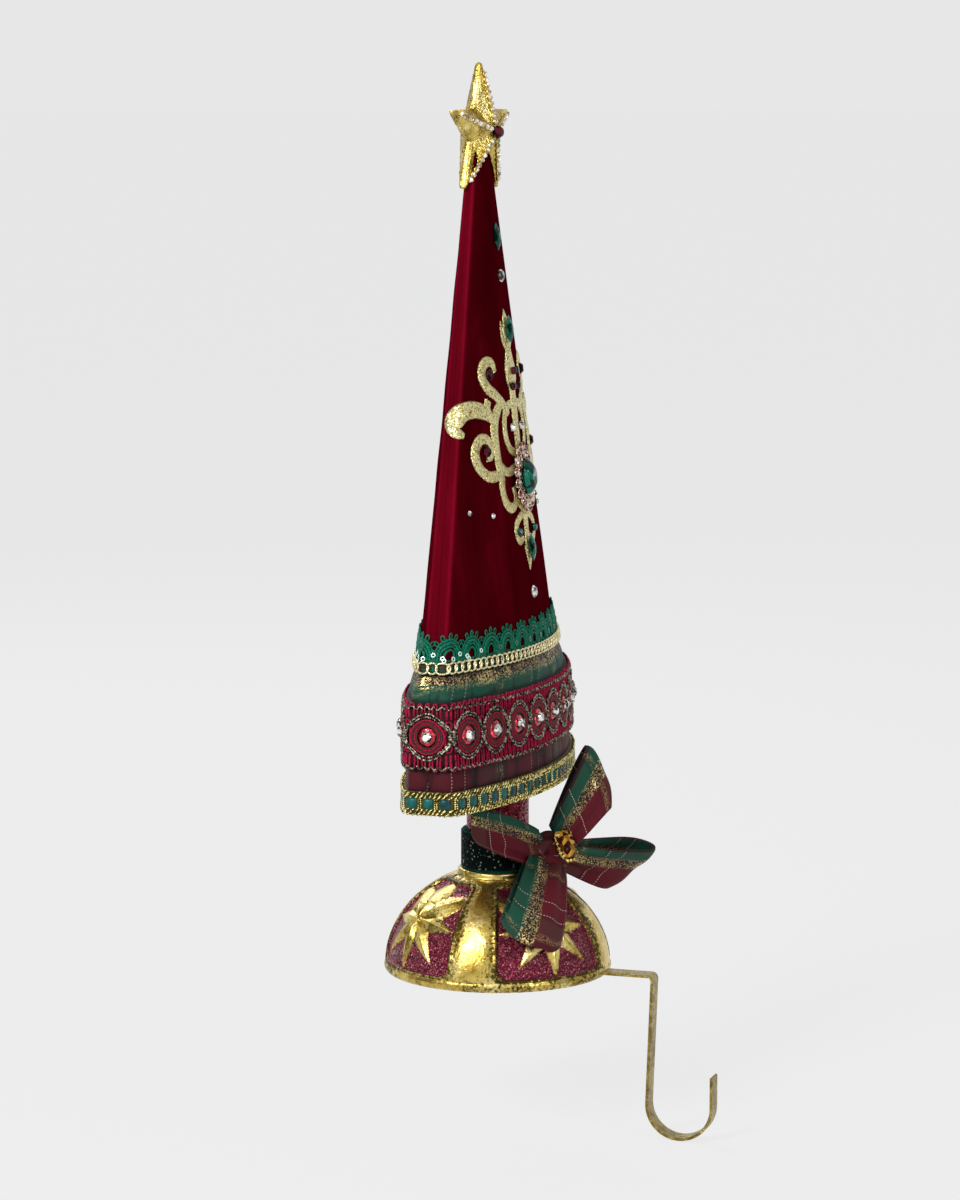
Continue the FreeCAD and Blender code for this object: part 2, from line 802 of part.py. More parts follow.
def hem_cabochons():
    height = size("tree_foot") - size("hem_drop") + size("hem_height") / 2
    outward = trim_seat + size("hem_thickness") + size("seat_gap")
    wide, tall = size("cabochon_width") / 2, size("cabochon_height") / 2
    signs = ((-1, -1), (1, -1), (1, 1), (-1, 1))
    outline = [Vector(wide * across, tall * up, 0) for across, up in signs]
    stones = []
    for point, normal, along in places_round(height, outward, size("cabochon_pitch")):
        stone = cut_gem(outline, size("cabochon_rise"))
        stone.Placement = facing(point, normal, along)
        stones.append(stone)
    return Part.makeCompound(stones)


def medallion_places(outward):
    height = size("band_low") + size("band_height") / 2
    return places_round(height, outward, size("medallion_pitch"))


def medallion_cords():
    rings = []
    rise = size("medallion_cord_rise")
    wide = size("medallion_cord_width")
    for place_at in medallion_places(trim_seat + size("band_thickness") + size("seat_gap")):
        for radius in (size("medallion_radius"), size("inner_cord_radius")):
            ring = Part.makeCylinder(radius, rise).cut(Part.makeCylinder(radius - wide, rise))
            ring.Placement = facing(*place_at)
            rings.append(ring)
    return Part.makeCompound(rings)


def stone_foils():
    discs = []
    for place_at in medallion_places(trim_seat + size("band_thickness") + size("seat_gap")):
        disc = Part.makeCylinder(size("foil_radius"), size("foil_thickness"))
        disc.Placement = facing(*place_at)
        discs.append(disc)
    return Part.makeCompound(discs)


def band_stones():
    stones = []
    outward = trim_seat + size("band_thickness") + 2 * size("seat_gap") + size("foil_thickness")
    outline = oval_outline(2 * size("stone_radius"), 2 * size("stone_radius"), 8)
    for place_at in medallion_places(outward):
        stone = cut_gem(outline, size("stone_rise"))
        stone.Placement = facing(*place_at)
        stones.append(stone)
    return Part.makeCompound(stones)


def lace_trim():
    low = size("tree_shoulder") + size("fit_gap")
    high = low + size("lace_height")
    valley = low + size("lace_band_height")
    seat = size("seat_gap")
    strip = wrap(low, high, seat, seat + size("lace_thickness"))
    places = places_round(valley, seat, size("lace_pitch"), shift=0.5)
    pitch = (places[1][0] - places[0][0]).Length
    half, crown = pitch / 2 + 0.02, high - size("lace_tip") - valley
    bulge = Vector(half * 0.35, crown * 0.66, 0)
    cutters = []
    for point, normal, along in places:
        left, bottom, right = Vector(-half, crown, 0), Vector(0, 0, 0), Vector(half, crown, 0)
        top = Vector(0, crown + 4, 0)
        edges = [
            Part.Arc(left, Vector(-bulge.x, bulge.y, 0), bottom).toShape(),
            Part.Arc(bottom, bulge, right).toShape(),
            Part.makeLine(right, right + top),
            Part.makeLine(right + top, left + top),
            Part.makeLine(left + top, left),
        ]
        cutter = Part.Face(Part.Wire(edges)).extrude(Vector(0, 0, 6))
        cutter.translate(Vector(0, 0, -3))
        cutter.Placement = facing(point, normal, along).multiply(cutter.Placement)
        cutters.append(cutter)
    for cutter in cutters:
        strip = strip.cut(cutter)
    return strip


def lace_sequins():
    outward = 2 * size("seat_gap") + size("lace_thickness")
    height = size("tree_shoulder") + size("sequin_place")
    rings = []
    for place_at in places_round(height, outward, size("lace_pitch")):
        ring = Part.makeCylinder(size("sequin_radius"), size("sequin_thickness"))
        ring = ring.cut(Part.makeCylinder(size("sequin_hole_radius"), size("sequin_thickness")))
        ring.Placement = facing(*place_at)
        rings.append(ring)
    return Part.makeCompound(rings)


def chain_braid():
    low = size("tree_shoulder") + size("fit_gap")
    seat = 2 * size("seat_gap") + size("lace_thickness")
    return wrap(low, low + size("chain_height"), seat, seat + size("chain_thickness"))


band_low = size("band_low")
solid_node("hem_braid", hem_braid())
solid_node("hem_cabochons", hem_cabochons())
solid_node("medallion_band", wrap(band_low, band_low + size("band_height"), trim_seat,
                                  trim_seat + size("band_thickness")))
solid_node("medallion_cords", medallion_cords())
solid_node("stone_foils", stone_foils())
solid_node("band_stones", band_stones())
solid_node("lace_trim", lace_trim())
solid_node("lace_sequins", lace_sequins())
solid_node("chain_braid", chain_braid())


# Scrollwork: strokes of the left half as (across, up) points with the stroke's width at each
SCROLL_STROKES = [
    # bud leaf beside the top gem
    ([(-0.5, 42), (-5, 48), (-5.5, 56)], [4, 3.5, 0.8]),
    # curl round the upper garnet
    ([(-3, 12), (-9, 20), (-19, 22), (-28, 26), (-30, 33.5), (-26, 40), (-19, 40), (-16, 35)],
     [3, 4, 4, 4.5, 5, 4.5, 3.5, 1.6]),
    # broad leaf that reaches the side
    ([(-9, 5), (-18, 11.5), (-28, 17), (-38, 18), (-45, 13), (-46, 7)], [3, 4, 6.5, 8, 6.5, 1.6]),
    ([(-37, 16), (-34, 10), (-38, 6), (-42, 7.5)], [5, 4, 3, 1.2]),
    # large spiral round the side garnet
    ([(-8, 3), (-16, 5.5), (-23, 8.5), (-31, 9), (-40, 4), (-41.5, -5), (-34, -11.5), (-25.5, -8),
      (-24, 0), (-30, 4.5)], [3, 4, 4.5, 5.5, 5.5, 5, 5, 4.5, 3.5, 1.8]),
    # inner bow beside the clear stones
    ([(-2, 18), (-9, 17), (-13.5, 9), (-11, -1), (-3, -5)], [3, 4, 4.5, 4, 3]),
    # lower leaf
    ([(-31, -11), (-25, -15.5), (-17, -18), (-6, -17)], [3, 4, 4.5, 4]),
    ([(-21, -17), (-28, -21), (-26, -28), (-17, -31), (-5, -27)], [3.5, 4.5, 5.5, 4.5, 3]),
    # low scroll round the small green stone
    ([(-2, -27), (-12, -33), (-18.5, -38), (-16, -45), (-9, -47), (-4, -43)], [4, 4.5, 5, 4.5, 4, 3]),
]
# Strokes on the middle line
MIDDLE_STROKES = [
    ([(0, 61), (0, 52), (0, 43), (0, 33)], [0.8, 9.5, 6, 11]),
    ([(0, 34), (0, 18), (0, -20), (0, -40)], [9, 5, 6, 6]),
    ([(0, -38), (0, -48), (0, -58.5)], [5, 9.5, 0.8]),
]


def stroke_prism(points, widths, mirror):
    flat = [Vector(across * mirror, 0, up) for across, up in points]
    spine = Part.BSplineCurve()
    spine.interpolate(flat)
    first, last = spine.FirstParameter, spine.LastParameter
    knots = [spine.parameter(point) for point in flat]
    steps = 6 * (len(points) - 1)
    left, right = [], []
    for index in range(steps + 1):
        where = first + (last - first) * index / steps
        lower = max(k for k in range(len(knots) - 1) if knots[k] <= where + 1e-9)
        share = (where - knots[lower]) / (knots[lower + 1] - knots[lower])
        half = (widths[lower] + (widths[lower + 1] - widths[lower]) * share) / 2
        along = spine.tangent(where)[0]
        sideways = along.cross(Vector(0, 1, 0))
        here = spine.value(where)
        left.append(here + sideways * half)
        right.append(here - sideways * half)
    edges = []
    for row in (left, right):
        curve = Part.BSplineCurve()
        curve.interpolate(row)
        edges.append(curve.toShape())
    edges.append(Part.makeLine(left[0], right[0]))
    edges.append(Part.makeLine(left[-1], right[-1]))
    face = Part.Face(Part.Wire(Part.__sortEdges__(edges)))
    face.translate(Vector(0, -size("hip_half_depth"), size("scroll_height")))
    reach = size("hip_half_depth") + size("lean_offset") + size("lean_per_height") * size("scroll_height")
    return face.extrude(Vector(0, reach, 0))


def scroll_applique():
    prisms = [stroke_prism(points, widths, 1) for points, widths in MIDDLE_STROKES]
    for points, widths in SCROLL_STROKES:
        prisms.append(stroke_prism(points, widths, 1))
        prisms.append(stroke_prism(points, widths, -1))
    pattern = prisms[0].multiFuse(prisms[1:])
    middle, reach, seat = size("scroll_height"), size("scroll_reach"), size("seat_gap")
    skin = wrap(middle - reach, middle + reach, seat, seat + size("scroll_thickness"))
    return skin.common(pattern)


scroll_face = size("seat_gap") * 2 + size("scroll_thickness")
bare_face = size("seat_gap")


def filigree_cluster():
    # a pierced plate of lobes round the oval gem
    tall, thickness = size("filigree_radius"), size("filigree_thickness")
    wide, lobe_radius = tall * 0.82, tall * 0.27
    hole_radius = lobe_radius * 0.42
    lobe_count = 10
    plate = Part.makeCylinder(wide * 0.8, thickness)
    lobes, holes = [], []
    for index in range(lobe_count):
        angle = 2 * math.pi * (index + 0.5) / lobe_count
        centre = Vector((wide - lobe_radius) * math.cos(angle), (tall - lobe_radius) * math.sin(angle), 0)
        lobes.append(Part.makeCylinder(lobe_radius, thickness, centre))
        holes.append(Part.makeCylinder(hole_radius, thickness, centre * 1.04))
    plate = plate.multiFuse(lobes)
    for hole in holes:
        plate = plate.cut(hole)
    plate = plate.removeSplitter()
    plate.Placement = facing(*front_place(0, size("oval_gem_place"), scroll_face))
    return plate


def oval_gem():
    outward = scroll_face + size("filigree_thickness") + size("seat_gap")
    outline = oval_outline(size("oval_gem_width"), size("oval_gem_height"), 16)
    return gem_on_front(outline, size("oval_gem_rise"), 0, size("oval_gem_place"), outward)


def marquise(height, outward):
    outline = marquise_outline(size("marquise_width"), size("marquise_length"))
    return gem_on_front(outline, size("marquise_rise"), 0, height, outward, size("marquise_table"))


def round_gems(radius, places, outward, stretch=1.0):
    outline = oval_outline(2 * radius, 2 * radius * stretch, 8)
    rise = size("round_gem_rise") * radius / size("round_gem_radius")
    middle = size("scroll_height")
    return [gem_on_front(outline, rise, across, middle + up, outward) for across, up in places]


def both_sides(across, up):
    return [(-across, up), (across, up)]


solid_node("scroll_applique", scroll_applique())
solid_node("filigree_cluster", filigree_cluster())
solid_node("emerald_oval", oval_gem())
solid_node("marquise_top", marquise(size("marquise_top_place"), bare_face))
solid_node("marquise_upper", marquise(size("marquise_upper_place"), scroll_face))
solid_node("marquise_lower", marquise(size("marquise_lower_place"), scroll_face))
# Places of the round stones, across and up from the scrollwork's middle
curl_garnets = both_sides(23, 32.5) + both_sides(32, -1.5)
crown_garnets = [(0, 33)] + both_sides(3.6, 26)
clear_places = both_sides(6.4, 7.5)
green_places = both_sides(11, -40)
crystal_places = [(0, 76.3), (0, -68.5)]
speck_places = both_sides(33, -30.4) + both_sides(49, -28)
gem_radius, small_radius = size("round_gem_radius"), size("small_gem_radius")
solid_node("garnet_gems", Part.makeCompound(
    round_gems(gem_radius, curl_garnets, bare_face)
    + round_gems(small_radius, crown_garnets, scroll_face)
))
solid_node("clear_gems", Part.makeCompound(round_gems(small_radius, clear_places, bare_face)))
solid_node("green_gems", Part.makeCompound(round_gems(small_radius, green_places, bare_face)))
solid_node("velvet_crystals", Part.makeCompound(
    round_gems(size("crystal_radius"), crystal_places, bare_face, size("crystal_stretch"))
    + round_gems(size("speck_radius"), speck_places, bare_face)
))


# Star on the tip, with a socket that takes the tree's point
def star_frame():
    turn = math.radians(size("star_turn"))
    normal = Vector(-math.sin(turn), -math.cos(turn), 0)
    centre = size("lean_offset") + size("lean_per_height") * size("tree_tip")
    along = Vector(0, 0, 1).cross(normal)
    return facing(Vector(0, centre, size("star_height")), normal, along)


def star_rim():
    points = []
    for index in range(10):
        reach = size("star_radius") * (1.0 if index % 2 == 0 else size("star_waist_share"))
        angle = math.radians(90 + 36 * index)
        points.append(Vector(reach * math.cos(angle), reach * math.sin(angle), 0))
    return points


def star_topper():
    half_edge = Vector(0, 0, size("star_edge") / 2)
    peak = Vector(0, 0, size("star_thickness") / 2)
    rim = star_rim()
    faces = []
    for index in range(10):
        here, following = rim[index], rim[(index + 1) % 10]
        faces.append(triangle(peak, here + half_edge, following + half_edge))
        faces.append(triangle(peak * -1, following - half_edge, here - half_edge))
        corners = [here - half_edge, following - half_edge, following + half_edge, here + half_edge]
        faces.append(Part.Face(Part.makePolygon(corners + [corners[0]])))
    star = Part.Solid(Part.Shell(faces))
    star.Placement = star_frame()
    socket = tree_block(size("tree_shoulder"), size("tree_tip"), size("fit_gap"))
    return star.cut(socket).cut(star_pin_shape(size("fit_gap") / 2))


def star_chain():
    # a stone rests on the star's ridge, or on the velvet where the arm dips into it
    stones = []
    velvet = tree_block(size("tree_shoulder"), size("tree_tip"), size("seat_gap"))
    frame = star_frame()
    radius = size("chain_stone_radius")
    start = size("star_gem_radius") + radius + 0.4
    peak = Vector(0, 0, size("star_thickness") / 2)
    count = int((size("star_radius") - start - radius) / size("chain_stone_pitch")) + 1
    for tip in star_rim()[::2]:
        ridge_end = tip + Vector(0, 0, size("star_edge") / 2)
        ridge = ridge_end - peak
        outward = Vector(0, 0, 1) - ridge * (ridge.z / ridge.Length ** 2)
        outward.normalize()
        for index in range(count):
            reach = start + size("chain_stone_pitch") * index
            lift = radius + size("seat_gap") / 2
            on_ridge = peak + ridge * (reach / ridge.Length)
            centre = frame.multVec(on_ridge + outward * lift)
            while velvet.distToShape(Part.Vertex(centre))[0] < radius:
                lift += size("seat_gap")
                centre = frame.multVec(on_ridge + outward * lift)
            stones.append(Part.makeSphere(radius, centre))
    return Part.makeCompound(stones)


def star_gem():
    outline = oval_outline(2 * size("star_gem_radius"), 2 * size("star_gem_radius"), 8)
    gem = cut_gem(outline, size("star_gem_rise"))
    gem.translate(Vector(0, 0, size("star_thickness") / 2 + size("seat_gap") / 2))
    gem.Placement = star_frame().multiply(gem.Placement)
    return gem


solid_node("star_topper", star_topper())
solid_node("star_pin", star_pin_shape())
solid_node("star_chain", star_chain())
solid_node("star_gem", star_gem())


# Bow: four gathered loops round a knot on the front of the collar
def knot_centre():
    forward = size("collar_radius") + size("knot_gap") + size("knot_radius")
    return Vector(0, -forward, size("bow_height"))


def jewel_frame():
    tilt = math.radians(size("jewel_tilt"))
    normal = Vector(0, -math.cos(tilt), math.sin(tilt))
    seat = knot_centre() + normal * (size("knot_radius") + size("seat_gap"))
    return facing(seat, normal, Vector(1, 0, 0))


def jewel_room():
    # the loops leave this space free round the jewel and its setting
    gap = size("fit_gap")
    wide, tall = size("jewel_width") / 2 + gap, size("jewel_height") / 2 + gap
    height = size("setting_thickness") + size("jewel_rise") + 4 * gap
    room = Part.makeBox(2 * wide, 2 * tall, height, Vector(-wide, -tall, -gap))
    room.Placement = jewel_frame()
    return room


def ribbon_loop(reach, width_direction, fullness):
    root = knot_centre()
    axis = Vector(reach)
    axis.normalize()
    across = Vector(width_direction)
    across = across - axis * across.dot(axis)
    across.normalize()
    bulge = axis.cross(across)
    length = reach.Length
    start = math.radians(26)
    steps = 20

    def path(angle):
        share = (1 - math.cos(angle)) / 2
        swell = fullness * math.sin(angle) * math.sqrt(share)
        return root + axis * (length * share) + bulge * swell, share

    wires = []
    half = size("ribbon_thickness") / 2
    gather, spread = size("ribbon_gather"), size("ribbon_spread")
    for index in range(steps + 1):
        angle = start + (2 * math.pi - 2 * start) * index / steps
        here, share = path(angle)
        ahead = path(angle + 0.01)[0] - path(angle - 0.01)[0]
        facing_out = ahead.cross(across)
        facing_out.normalize()
        width = gather + (size("ribbon_width") - gather) * share ** spread
        side, rise = across * (width / 2), facing_out * half
        corners = [here - side - rise, here + side - rise, here + side + rise, here - side + rise]
        wires.append(Part.makePolygon(corners + [corners[0]]))
    loop = Part.makeLoft(wires, True, True)
    return loop.cut(Part.makeSphere(size("knot_radius") + size("seat_gap"), root)).cut(jewel_room())


BOW_LOOPS = [
    ("bow_loop_upper_right", Vector(17, -18, 32.5), Vector(0.1, -0.37, -0.92), 1.0),
    ("bow_loop_lower_right", Vector(38, -28.5, -9.5), Vector(0, 0.74, -0.67), 0.9),
    ("bow_loop_lower_left", Vector(-46, -5, -33), Vector(0.5, -0.8, -0.1), 0.6),
    ("bow_loop_upper_left", Vector(-41, 26, 9), Vector(0.1, 0.2, -1.0), 0.45),
]
for label, reach, width_direction, full_share in BOW_LOOPS:
    solid_node(label, ribbon_loop(reach, width_direction, size("loop_fullness") * full_share))
solid_node("bow_knot", Part.makeSphere(size("knot_radius"), knot_centre()))


def bow_setting():
    wide, tall = size("jewel_width") / 2, size("jewel_height") / 2
    plate = Part.makeBox(2 * wide, 2 * tall, size("setting_thickness"), Vector(-wide, -tall, 0))
    plate.Placement = jewel_frame()
    return plate


def bow_jewel():
    wide, tall, trim = size("jewel_width") / 2, size("jewel_height") / 2, size("jewel_width") * 0.22
    outline = [
        Vector(-wide + trim, -tall, 0), Vector(wide - trim, -tall, 0),
        Vector(wide, -tall + trim, 0), Vector(wide, tall - trim, 0),
        Vector(wide - trim, tall, 0), Vector(-wide + trim, tall, 0),
        Vector(-wide, tall - trim, 0), Vector(-wide, -tall + trim, 0),
    ]
    gem = cut_gem(outline, size("jewel_rise"))
    gem.translate(Vector(0, 0, size("setting_thickness") + size("seat_gap") / 2))
    gem.Placement = jewel_frame().multiply(gem.Placement)
    return gem


solid_node("bow_setting", bow_setting())
solid_node("bow_jewel", bow_jewel())

# Check everything before anything is written
doc.recompute()
for thing in doc.Objects:
    if "Invalid" in thing.State or "Error" in thing.State:
        raise RuntimeError("%s failed: %s" % (thing.Name, thing.State))
for node in nodes:
    if node.Shape.isNull() or not node.Shape.isValid():
        raise RuntimeError("%s has no valid shape" % node.Label)
for node in nodes:
    node.Shape.exportStep("parts/%s.step" % node.Label)
    print("%-22s %3d solids %10.1f mm3" % (node.Label, len(node.Shape.Solids), node.Shape.Volume))
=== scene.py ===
# Mantel stocking holder: velvet tree, star, trims, ribbon bow, gilded dome and strip hook.
import bmesh
import bpy
import math
import numpy as np
from mathutils import Matrix, Vector, noise


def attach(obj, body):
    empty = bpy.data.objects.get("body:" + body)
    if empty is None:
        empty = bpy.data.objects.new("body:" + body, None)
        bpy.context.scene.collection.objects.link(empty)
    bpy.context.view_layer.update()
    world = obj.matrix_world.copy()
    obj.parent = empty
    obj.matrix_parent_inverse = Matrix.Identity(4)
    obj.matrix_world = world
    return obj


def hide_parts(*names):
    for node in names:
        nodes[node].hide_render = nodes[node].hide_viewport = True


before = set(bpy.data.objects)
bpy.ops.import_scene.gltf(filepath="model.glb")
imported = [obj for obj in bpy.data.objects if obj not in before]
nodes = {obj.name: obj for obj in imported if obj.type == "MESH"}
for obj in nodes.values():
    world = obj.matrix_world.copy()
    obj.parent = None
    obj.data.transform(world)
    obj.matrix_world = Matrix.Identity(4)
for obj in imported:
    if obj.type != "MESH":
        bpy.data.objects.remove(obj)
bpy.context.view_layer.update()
mm = 0.001
print("frame loaded")


def link(obj):
    bpy.context.scene.collection.objects.link(obj)
    return obj


def meshPiece(name, points, faces, finish, uv=None, values=None, smooth=True):
    # points in millimetres; uv is one pair per point; values is {attribute name: one float per point}
    mesh = bpy.data.meshes.new(name)
    mesh.from_pydata([tuple(c * mm for c in p) for p in points], [], faces)
    mesh.validate()
    if uv is not None:
        layer = mesh.uv_layers.new(name="cloth")
        for loop in mesh.loops:
            layer.data[loop.index].uv = uv[loop.vertex_index]
    for label, numbers in (values or {}).items():
        attribute = mesh.attributes.new(label, "FLOAT", "POINT")
        attribute.data.foreach_set("value", [float(n) for n in numbers])
    mesh.shade_smooth() if smooth else mesh.shade_flat()
    mesh.materials.append(finish)
    return link(bpy.data.objects.new(name, mesh))


def gridFaces(rows, columns, closed=False, start=0):
    faces = []
    across = columns if closed else columns - 1
    for row in range(rows - 1):
        for column in range(across):
            following = (column + 1) % columns
            low, high = start + row * columns, start + (row + 1) * columns
            faces.append((low + column, low + following, high + following, high + column))
    return faces


def welded(obj, distance, outwards=False):
    work = bmesh.new()
    work.from_mesh(obj.data)
    bmesh.ops.remove_doubles(work, verts=work.verts, dist=distance)
    if outwards:
        bmesh.ops.recalc_face_normals(work, faces=work.faces)
    work.to_mesh(obj.data)
    work.free()
    return obj


def turnOutwards(obj):
    return welded(obj, 1e-6, True)


def solid(obj, thickness, offset=-1.0):
    wall = obj.modifiers.new("wall", "SOLIDIFY")
    wall.thickness = thickness * mm
    wall.offset = offset
    return applied(obj)


def applied(obj):
    graph = bpy.context.evaluated_depsgraph_get()
    mesh = bpy.data.meshes.new_from_object(obj.evaluated_get(graph))
    obj.modifiers.clear()
    old = obj.data
    obj.data = mesh
    if old.users == 0 and isinstance(old, bpy.types.Mesh):
        bpy.data.meshes.remove(old)
    return obj


def finished(obj, slotName, *replaced):
    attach(obj, "root")
    if replaced:
        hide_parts(*replaced)
    return obj


# Tubes and solids of turned rings, used as small motifs and wires
def tube(points, radius, sides=6, closed=False, flat=1.0):
    rings, count = [], len(points)
    points = [Vector(p) for p in points]
    for index, point in enumerate(points):
        if closed:
            ahead = points[(index + 1) % count] - points[index - 1]
        else:
            ahead = points[min(index + 1, count - 1)] - points[max(index - 1, 0)]
        side = ahead.cross(Vector((0, 0, 1)))
        if side.length < 1e-9:
            side = ahead.cross(Vector((1, 0, 0)))
        side.normalize()
        over = side.cross(ahead).normalized()
        wide = radius[index] if isinstance(radius, (list, tuple)) else radius
        for corner in range(sides):
            angle = 2 * math.pi * corner / sides
            rings.append(point + side * wide * math.cos(angle) + over * wide * flat * math.sin(angle))
    faces = gridFaces(count, sides, True)
    if closed:
        last = (count - 1) * sides
        for corner in range(sides):
            following = (corner + 1) % sides
            faces.append((last + corner, last + following, following, corner))
    else:
        faces.append(tuple(range(sides)))
        faces.append(tuple(reversed(range((count - 1) * sides, count * sides))))
    return rings, faces


def joined(parts):
    points, faces = [], []
    for some, more in parts:
        start = len(points)
        points += some
        faces += [tuple(i + start for i in face) for face in more]
    return points, faces


def motif(name, parts, finish, smooth=True):
    points, faces = joined(parts)
    return turnOutwards(meshPiece(name, points, faces, finish, smooth=smooth))


def ringPoints(radius, count, height=0.0, squash=1.0):
    made = []
    for index in range(count):
        angle = 2 * math.pi * index / count
        made.append((radius * math.cos(angle), radius * squash * math.sin(angle), height))
    return made


def ballParts(centre, radius, rows=5, sides=8):
    points = [(centre[0], centre[1], centre[2] - radius)]
    for row in range(1, rows):
        angle = math.pi * row / rows
        for side in range(sides):
            turn = 2 * math.pi * side / sides
            reach = radius * math.sin(angle)
            points.append((centre[0] + reach * math.cos(turn), centre[1] + reach * math.sin(turn),
                           centre[2] - radius * math.cos(angle)))
    points.append((centre[0], centre[1], centre[2] + radius))
    faces = gridFaces(rows - 1, sides, True, 1)
    last = len(points) - 1
    for side in range(sides):
        following = (side + 1) % sides
        faces.append((0, 1 + following, 1 + side))
        faces.append((last, last - sides + side, last - sides + following))
    return points, faces


def cutStone(outline, levels):
    # rings of the outline at (height, share, turn), closed with a table and a flat back
    points, count = [], len(outline)
    for height, share, turn in levels:
        for index in range(count):
            here, following = outline[index], outline[(index + 1) % count]
            x = here[0] + (following[0] - here[0]) * turn
            y = here[1] + (following[1] - here[1]) * turn
            points.append((x * share, y * share, height))
    faces = []
    for level in range(len(levels) - 1):
        low, high = level * count, (level + 1) * count
        twist = levels[level + 1][2] - levels[level][2]
        for index in range(count):
            following = (index + 1) % count
            if twist > 0:
                faces.append((low + index, low + following, high + index))
                faces.append((high + index, low + following, high + following))
            elif twist < 0:
                faces.append((low + index, high + following, high + index))
                faces.append((low + index, low + following, high + following))
            else:
                faces.append((low + index, low + following, high + following, high + index))
    faces.append(tuple(reversed(range(count))))
    faces.append(tuple(range((len(levels) - 1) * count, len(levels) * count)))
    return points, faces


def oval(width, height, sides):
    return [(width / 2 * math.cos(2 * math.pi * (i + 0.5) / sides),
             height / 2 * math.sin(2 * math.pi * (i + 0.5) / sides)) for i in range(sides)]


def geometryTree(name, inputs):
    # an empty tree with a geometry and these further inputs, and the two calls that fill it
    tree = bpy.data.node_groups.new(name, "GeometryNodeTree")
    face = tree.interface
    face.new_socket("Geometry", in_out="OUTPUT", socket_type="NodeSocketGeometry")
    for label, kind in {"Geometry": "Geometry", **inputs}.items():
        face.new_socket(label, in_out="INPUT", socket_type="NodeSocket" + kind)
    return tree, tree.nodes.new, tree.links.new


def paintedEnd(make, wire, start, shape):
    # what the tree made becomes one real mesh with the chosen finish
    real, paint, end = (make(kind) for kind in ("GeometryNodeRealizeInstances", "GeometryNodeSetMaterial",
                                                "NodeGroupOutput"))
    wire(shape, real.inputs["Geometry"])
    wire(real.outputs["Geometry"], paint.inputs["Geometry"])
    wire(start.outputs["Finish"], paint.inputs["Material"])
    wire(paint.outputs["Geometry"], end.inputs["Geometry"])


# Geometry nodes: a motif on every place, each place with its outward direction and its run
def placingTree():
    tree, make, wire = geometryTree("placeOnPoints", {
        "Motif": "Object", "Finish": "Material", "Size": "Float", "Size Spread": "Float",
        "Turn Spread": "Float", "Seed": "Int"})
    start = make("NodeGroupInput")
    outward, run = make("GeometryNodeInputNamedAttribute"), make("GeometryNodeInputNamedAttribute")
    for item, label in ((outward, "outward"), (run, "run")):
        item.data_type = "FLOAT_VECTOR"
        item.inputs["Name"].default_value = label
    axes = make("FunctionNodeAxesToRotation")
    axes.primary_axis, axes.secondary_axis = "Z", "X"
    wire(outward.outputs["Attribute"], axes.inputs["Primary Axis"])
    wire(run.outputs["Attribute"], axes.inputs["Secondary Axis"])
    low, high = make("ShaderNodeMath"), make("ShaderNodeMath")
    low.operation, high.operation = "SUBTRACT", "ADD"
    back = make("ShaderNodeMath")
    back.operation = "MULTIPLY"
    back.inputs[1].default_value = -1.0
    for item in (low, high):
        wire(start.outputs["Size"], item.inputs[0])
        wire(start.outputs["Size Spread"], item.inputs[1])
    wire(start.outputs["Turn Spread"], back.inputs[0])
    scale, turn = make("FunctionNodeRandomValue"), make("FunctionNodeRandomValue")
    pairs = ((scale, low.outputs[0], high.outputs[0]), (turn, back.outputs[0], start.outputs["Turn Spread"]))
    for item, least, most in pairs:
        item.data_type = "FLOAT"
        floats = [s for s in item.inputs if s.type == "VALUE" and s.enabled]
        wire(least, floats[0])
        wire(most, floats[1])
        wire(start.outputs["Seed"], item.inputs["Seed"])
    about = make("FunctionNodeAxisAngleToRotation")
    about.inputs["Axis"].default_value = (0, 0, 1)
    wire([s for s in turn.outputs if s.enabled][0], about.inputs["Angle"])
    rotate = make("FunctionNodeRotateRotation")
    rotate.rotation_space = "LOCAL"
    wire(axes.outputs[0], rotate.inputs["Rotation"])
    wire(about.outputs[0], rotate.inputs["Rotate By"])
    source, spread = make("GeometryNodeObjectInfo"), make("GeometryNodeInstanceOnPoints")
    wire(start.outputs["Motif"], source.inputs["Object"])
    wire(start.outputs["Geometry"], spread.inputs["Points"])
    wire(source.outputs["Geometry"], spread.inputs["Instance"])
    wire(rotate.outputs[0], spread.inputs["Rotation"])
    wire([s for s in scale.outputs if s.enabled][0], spread.inputs["Scale"])
    paintedEnd(make, wire, start, spread.outputs["Instances"])
    return tree


placing = placingTree()


def setInputs(modifier, chosen):
    for item in modifier.node_group.interface.items_tree:
        if item.item_type == "SOCKET" and item.in_out == "INPUT" and item.name in chosen:
            modifier[item.identifier] = chosen[item.name]


def placed(name, places, motifObject, finish, size=1.0, sizeSpread=0.0, turnSpread=0.0, seed=1):
    mesh = bpy.data.meshes.new(name)
    mesh.from_pydata([tuple(c * mm for c in p[0]) for p in places], [], [])
    for label, which in (("outward", 1), ("run", 2)):
        attribute = mesh.attributes.new(label, "FLOAT_VECTOR", "POINT")
        attribute.data.foreach_set("vector", [c for p in places for c in p[which]])
    obj = link(bpy.data.objects.new(name, mesh))
    modifier = obj.modifiers.new("places", "NODES")
    modifier.node_group = placing
    setInputs(modifier, {"Motif": motifObject, "Finish": finish, "Size": size, "Size Spread": sizeSpread,
                         "Turn Spread": turnSpread, "Seed": seed})
    applied(obj)
    for label in ("outward", "run"):
        if label in obj.data.attributes:
            obj.data.attributes.remove(obj.data.attributes[label])
    obj.data.materials.clear()
    obj.data.materials.append(finish)
    return obj


def discard(*objects):
    for obj in objects:
        bpy.data.objects.remove(obj)


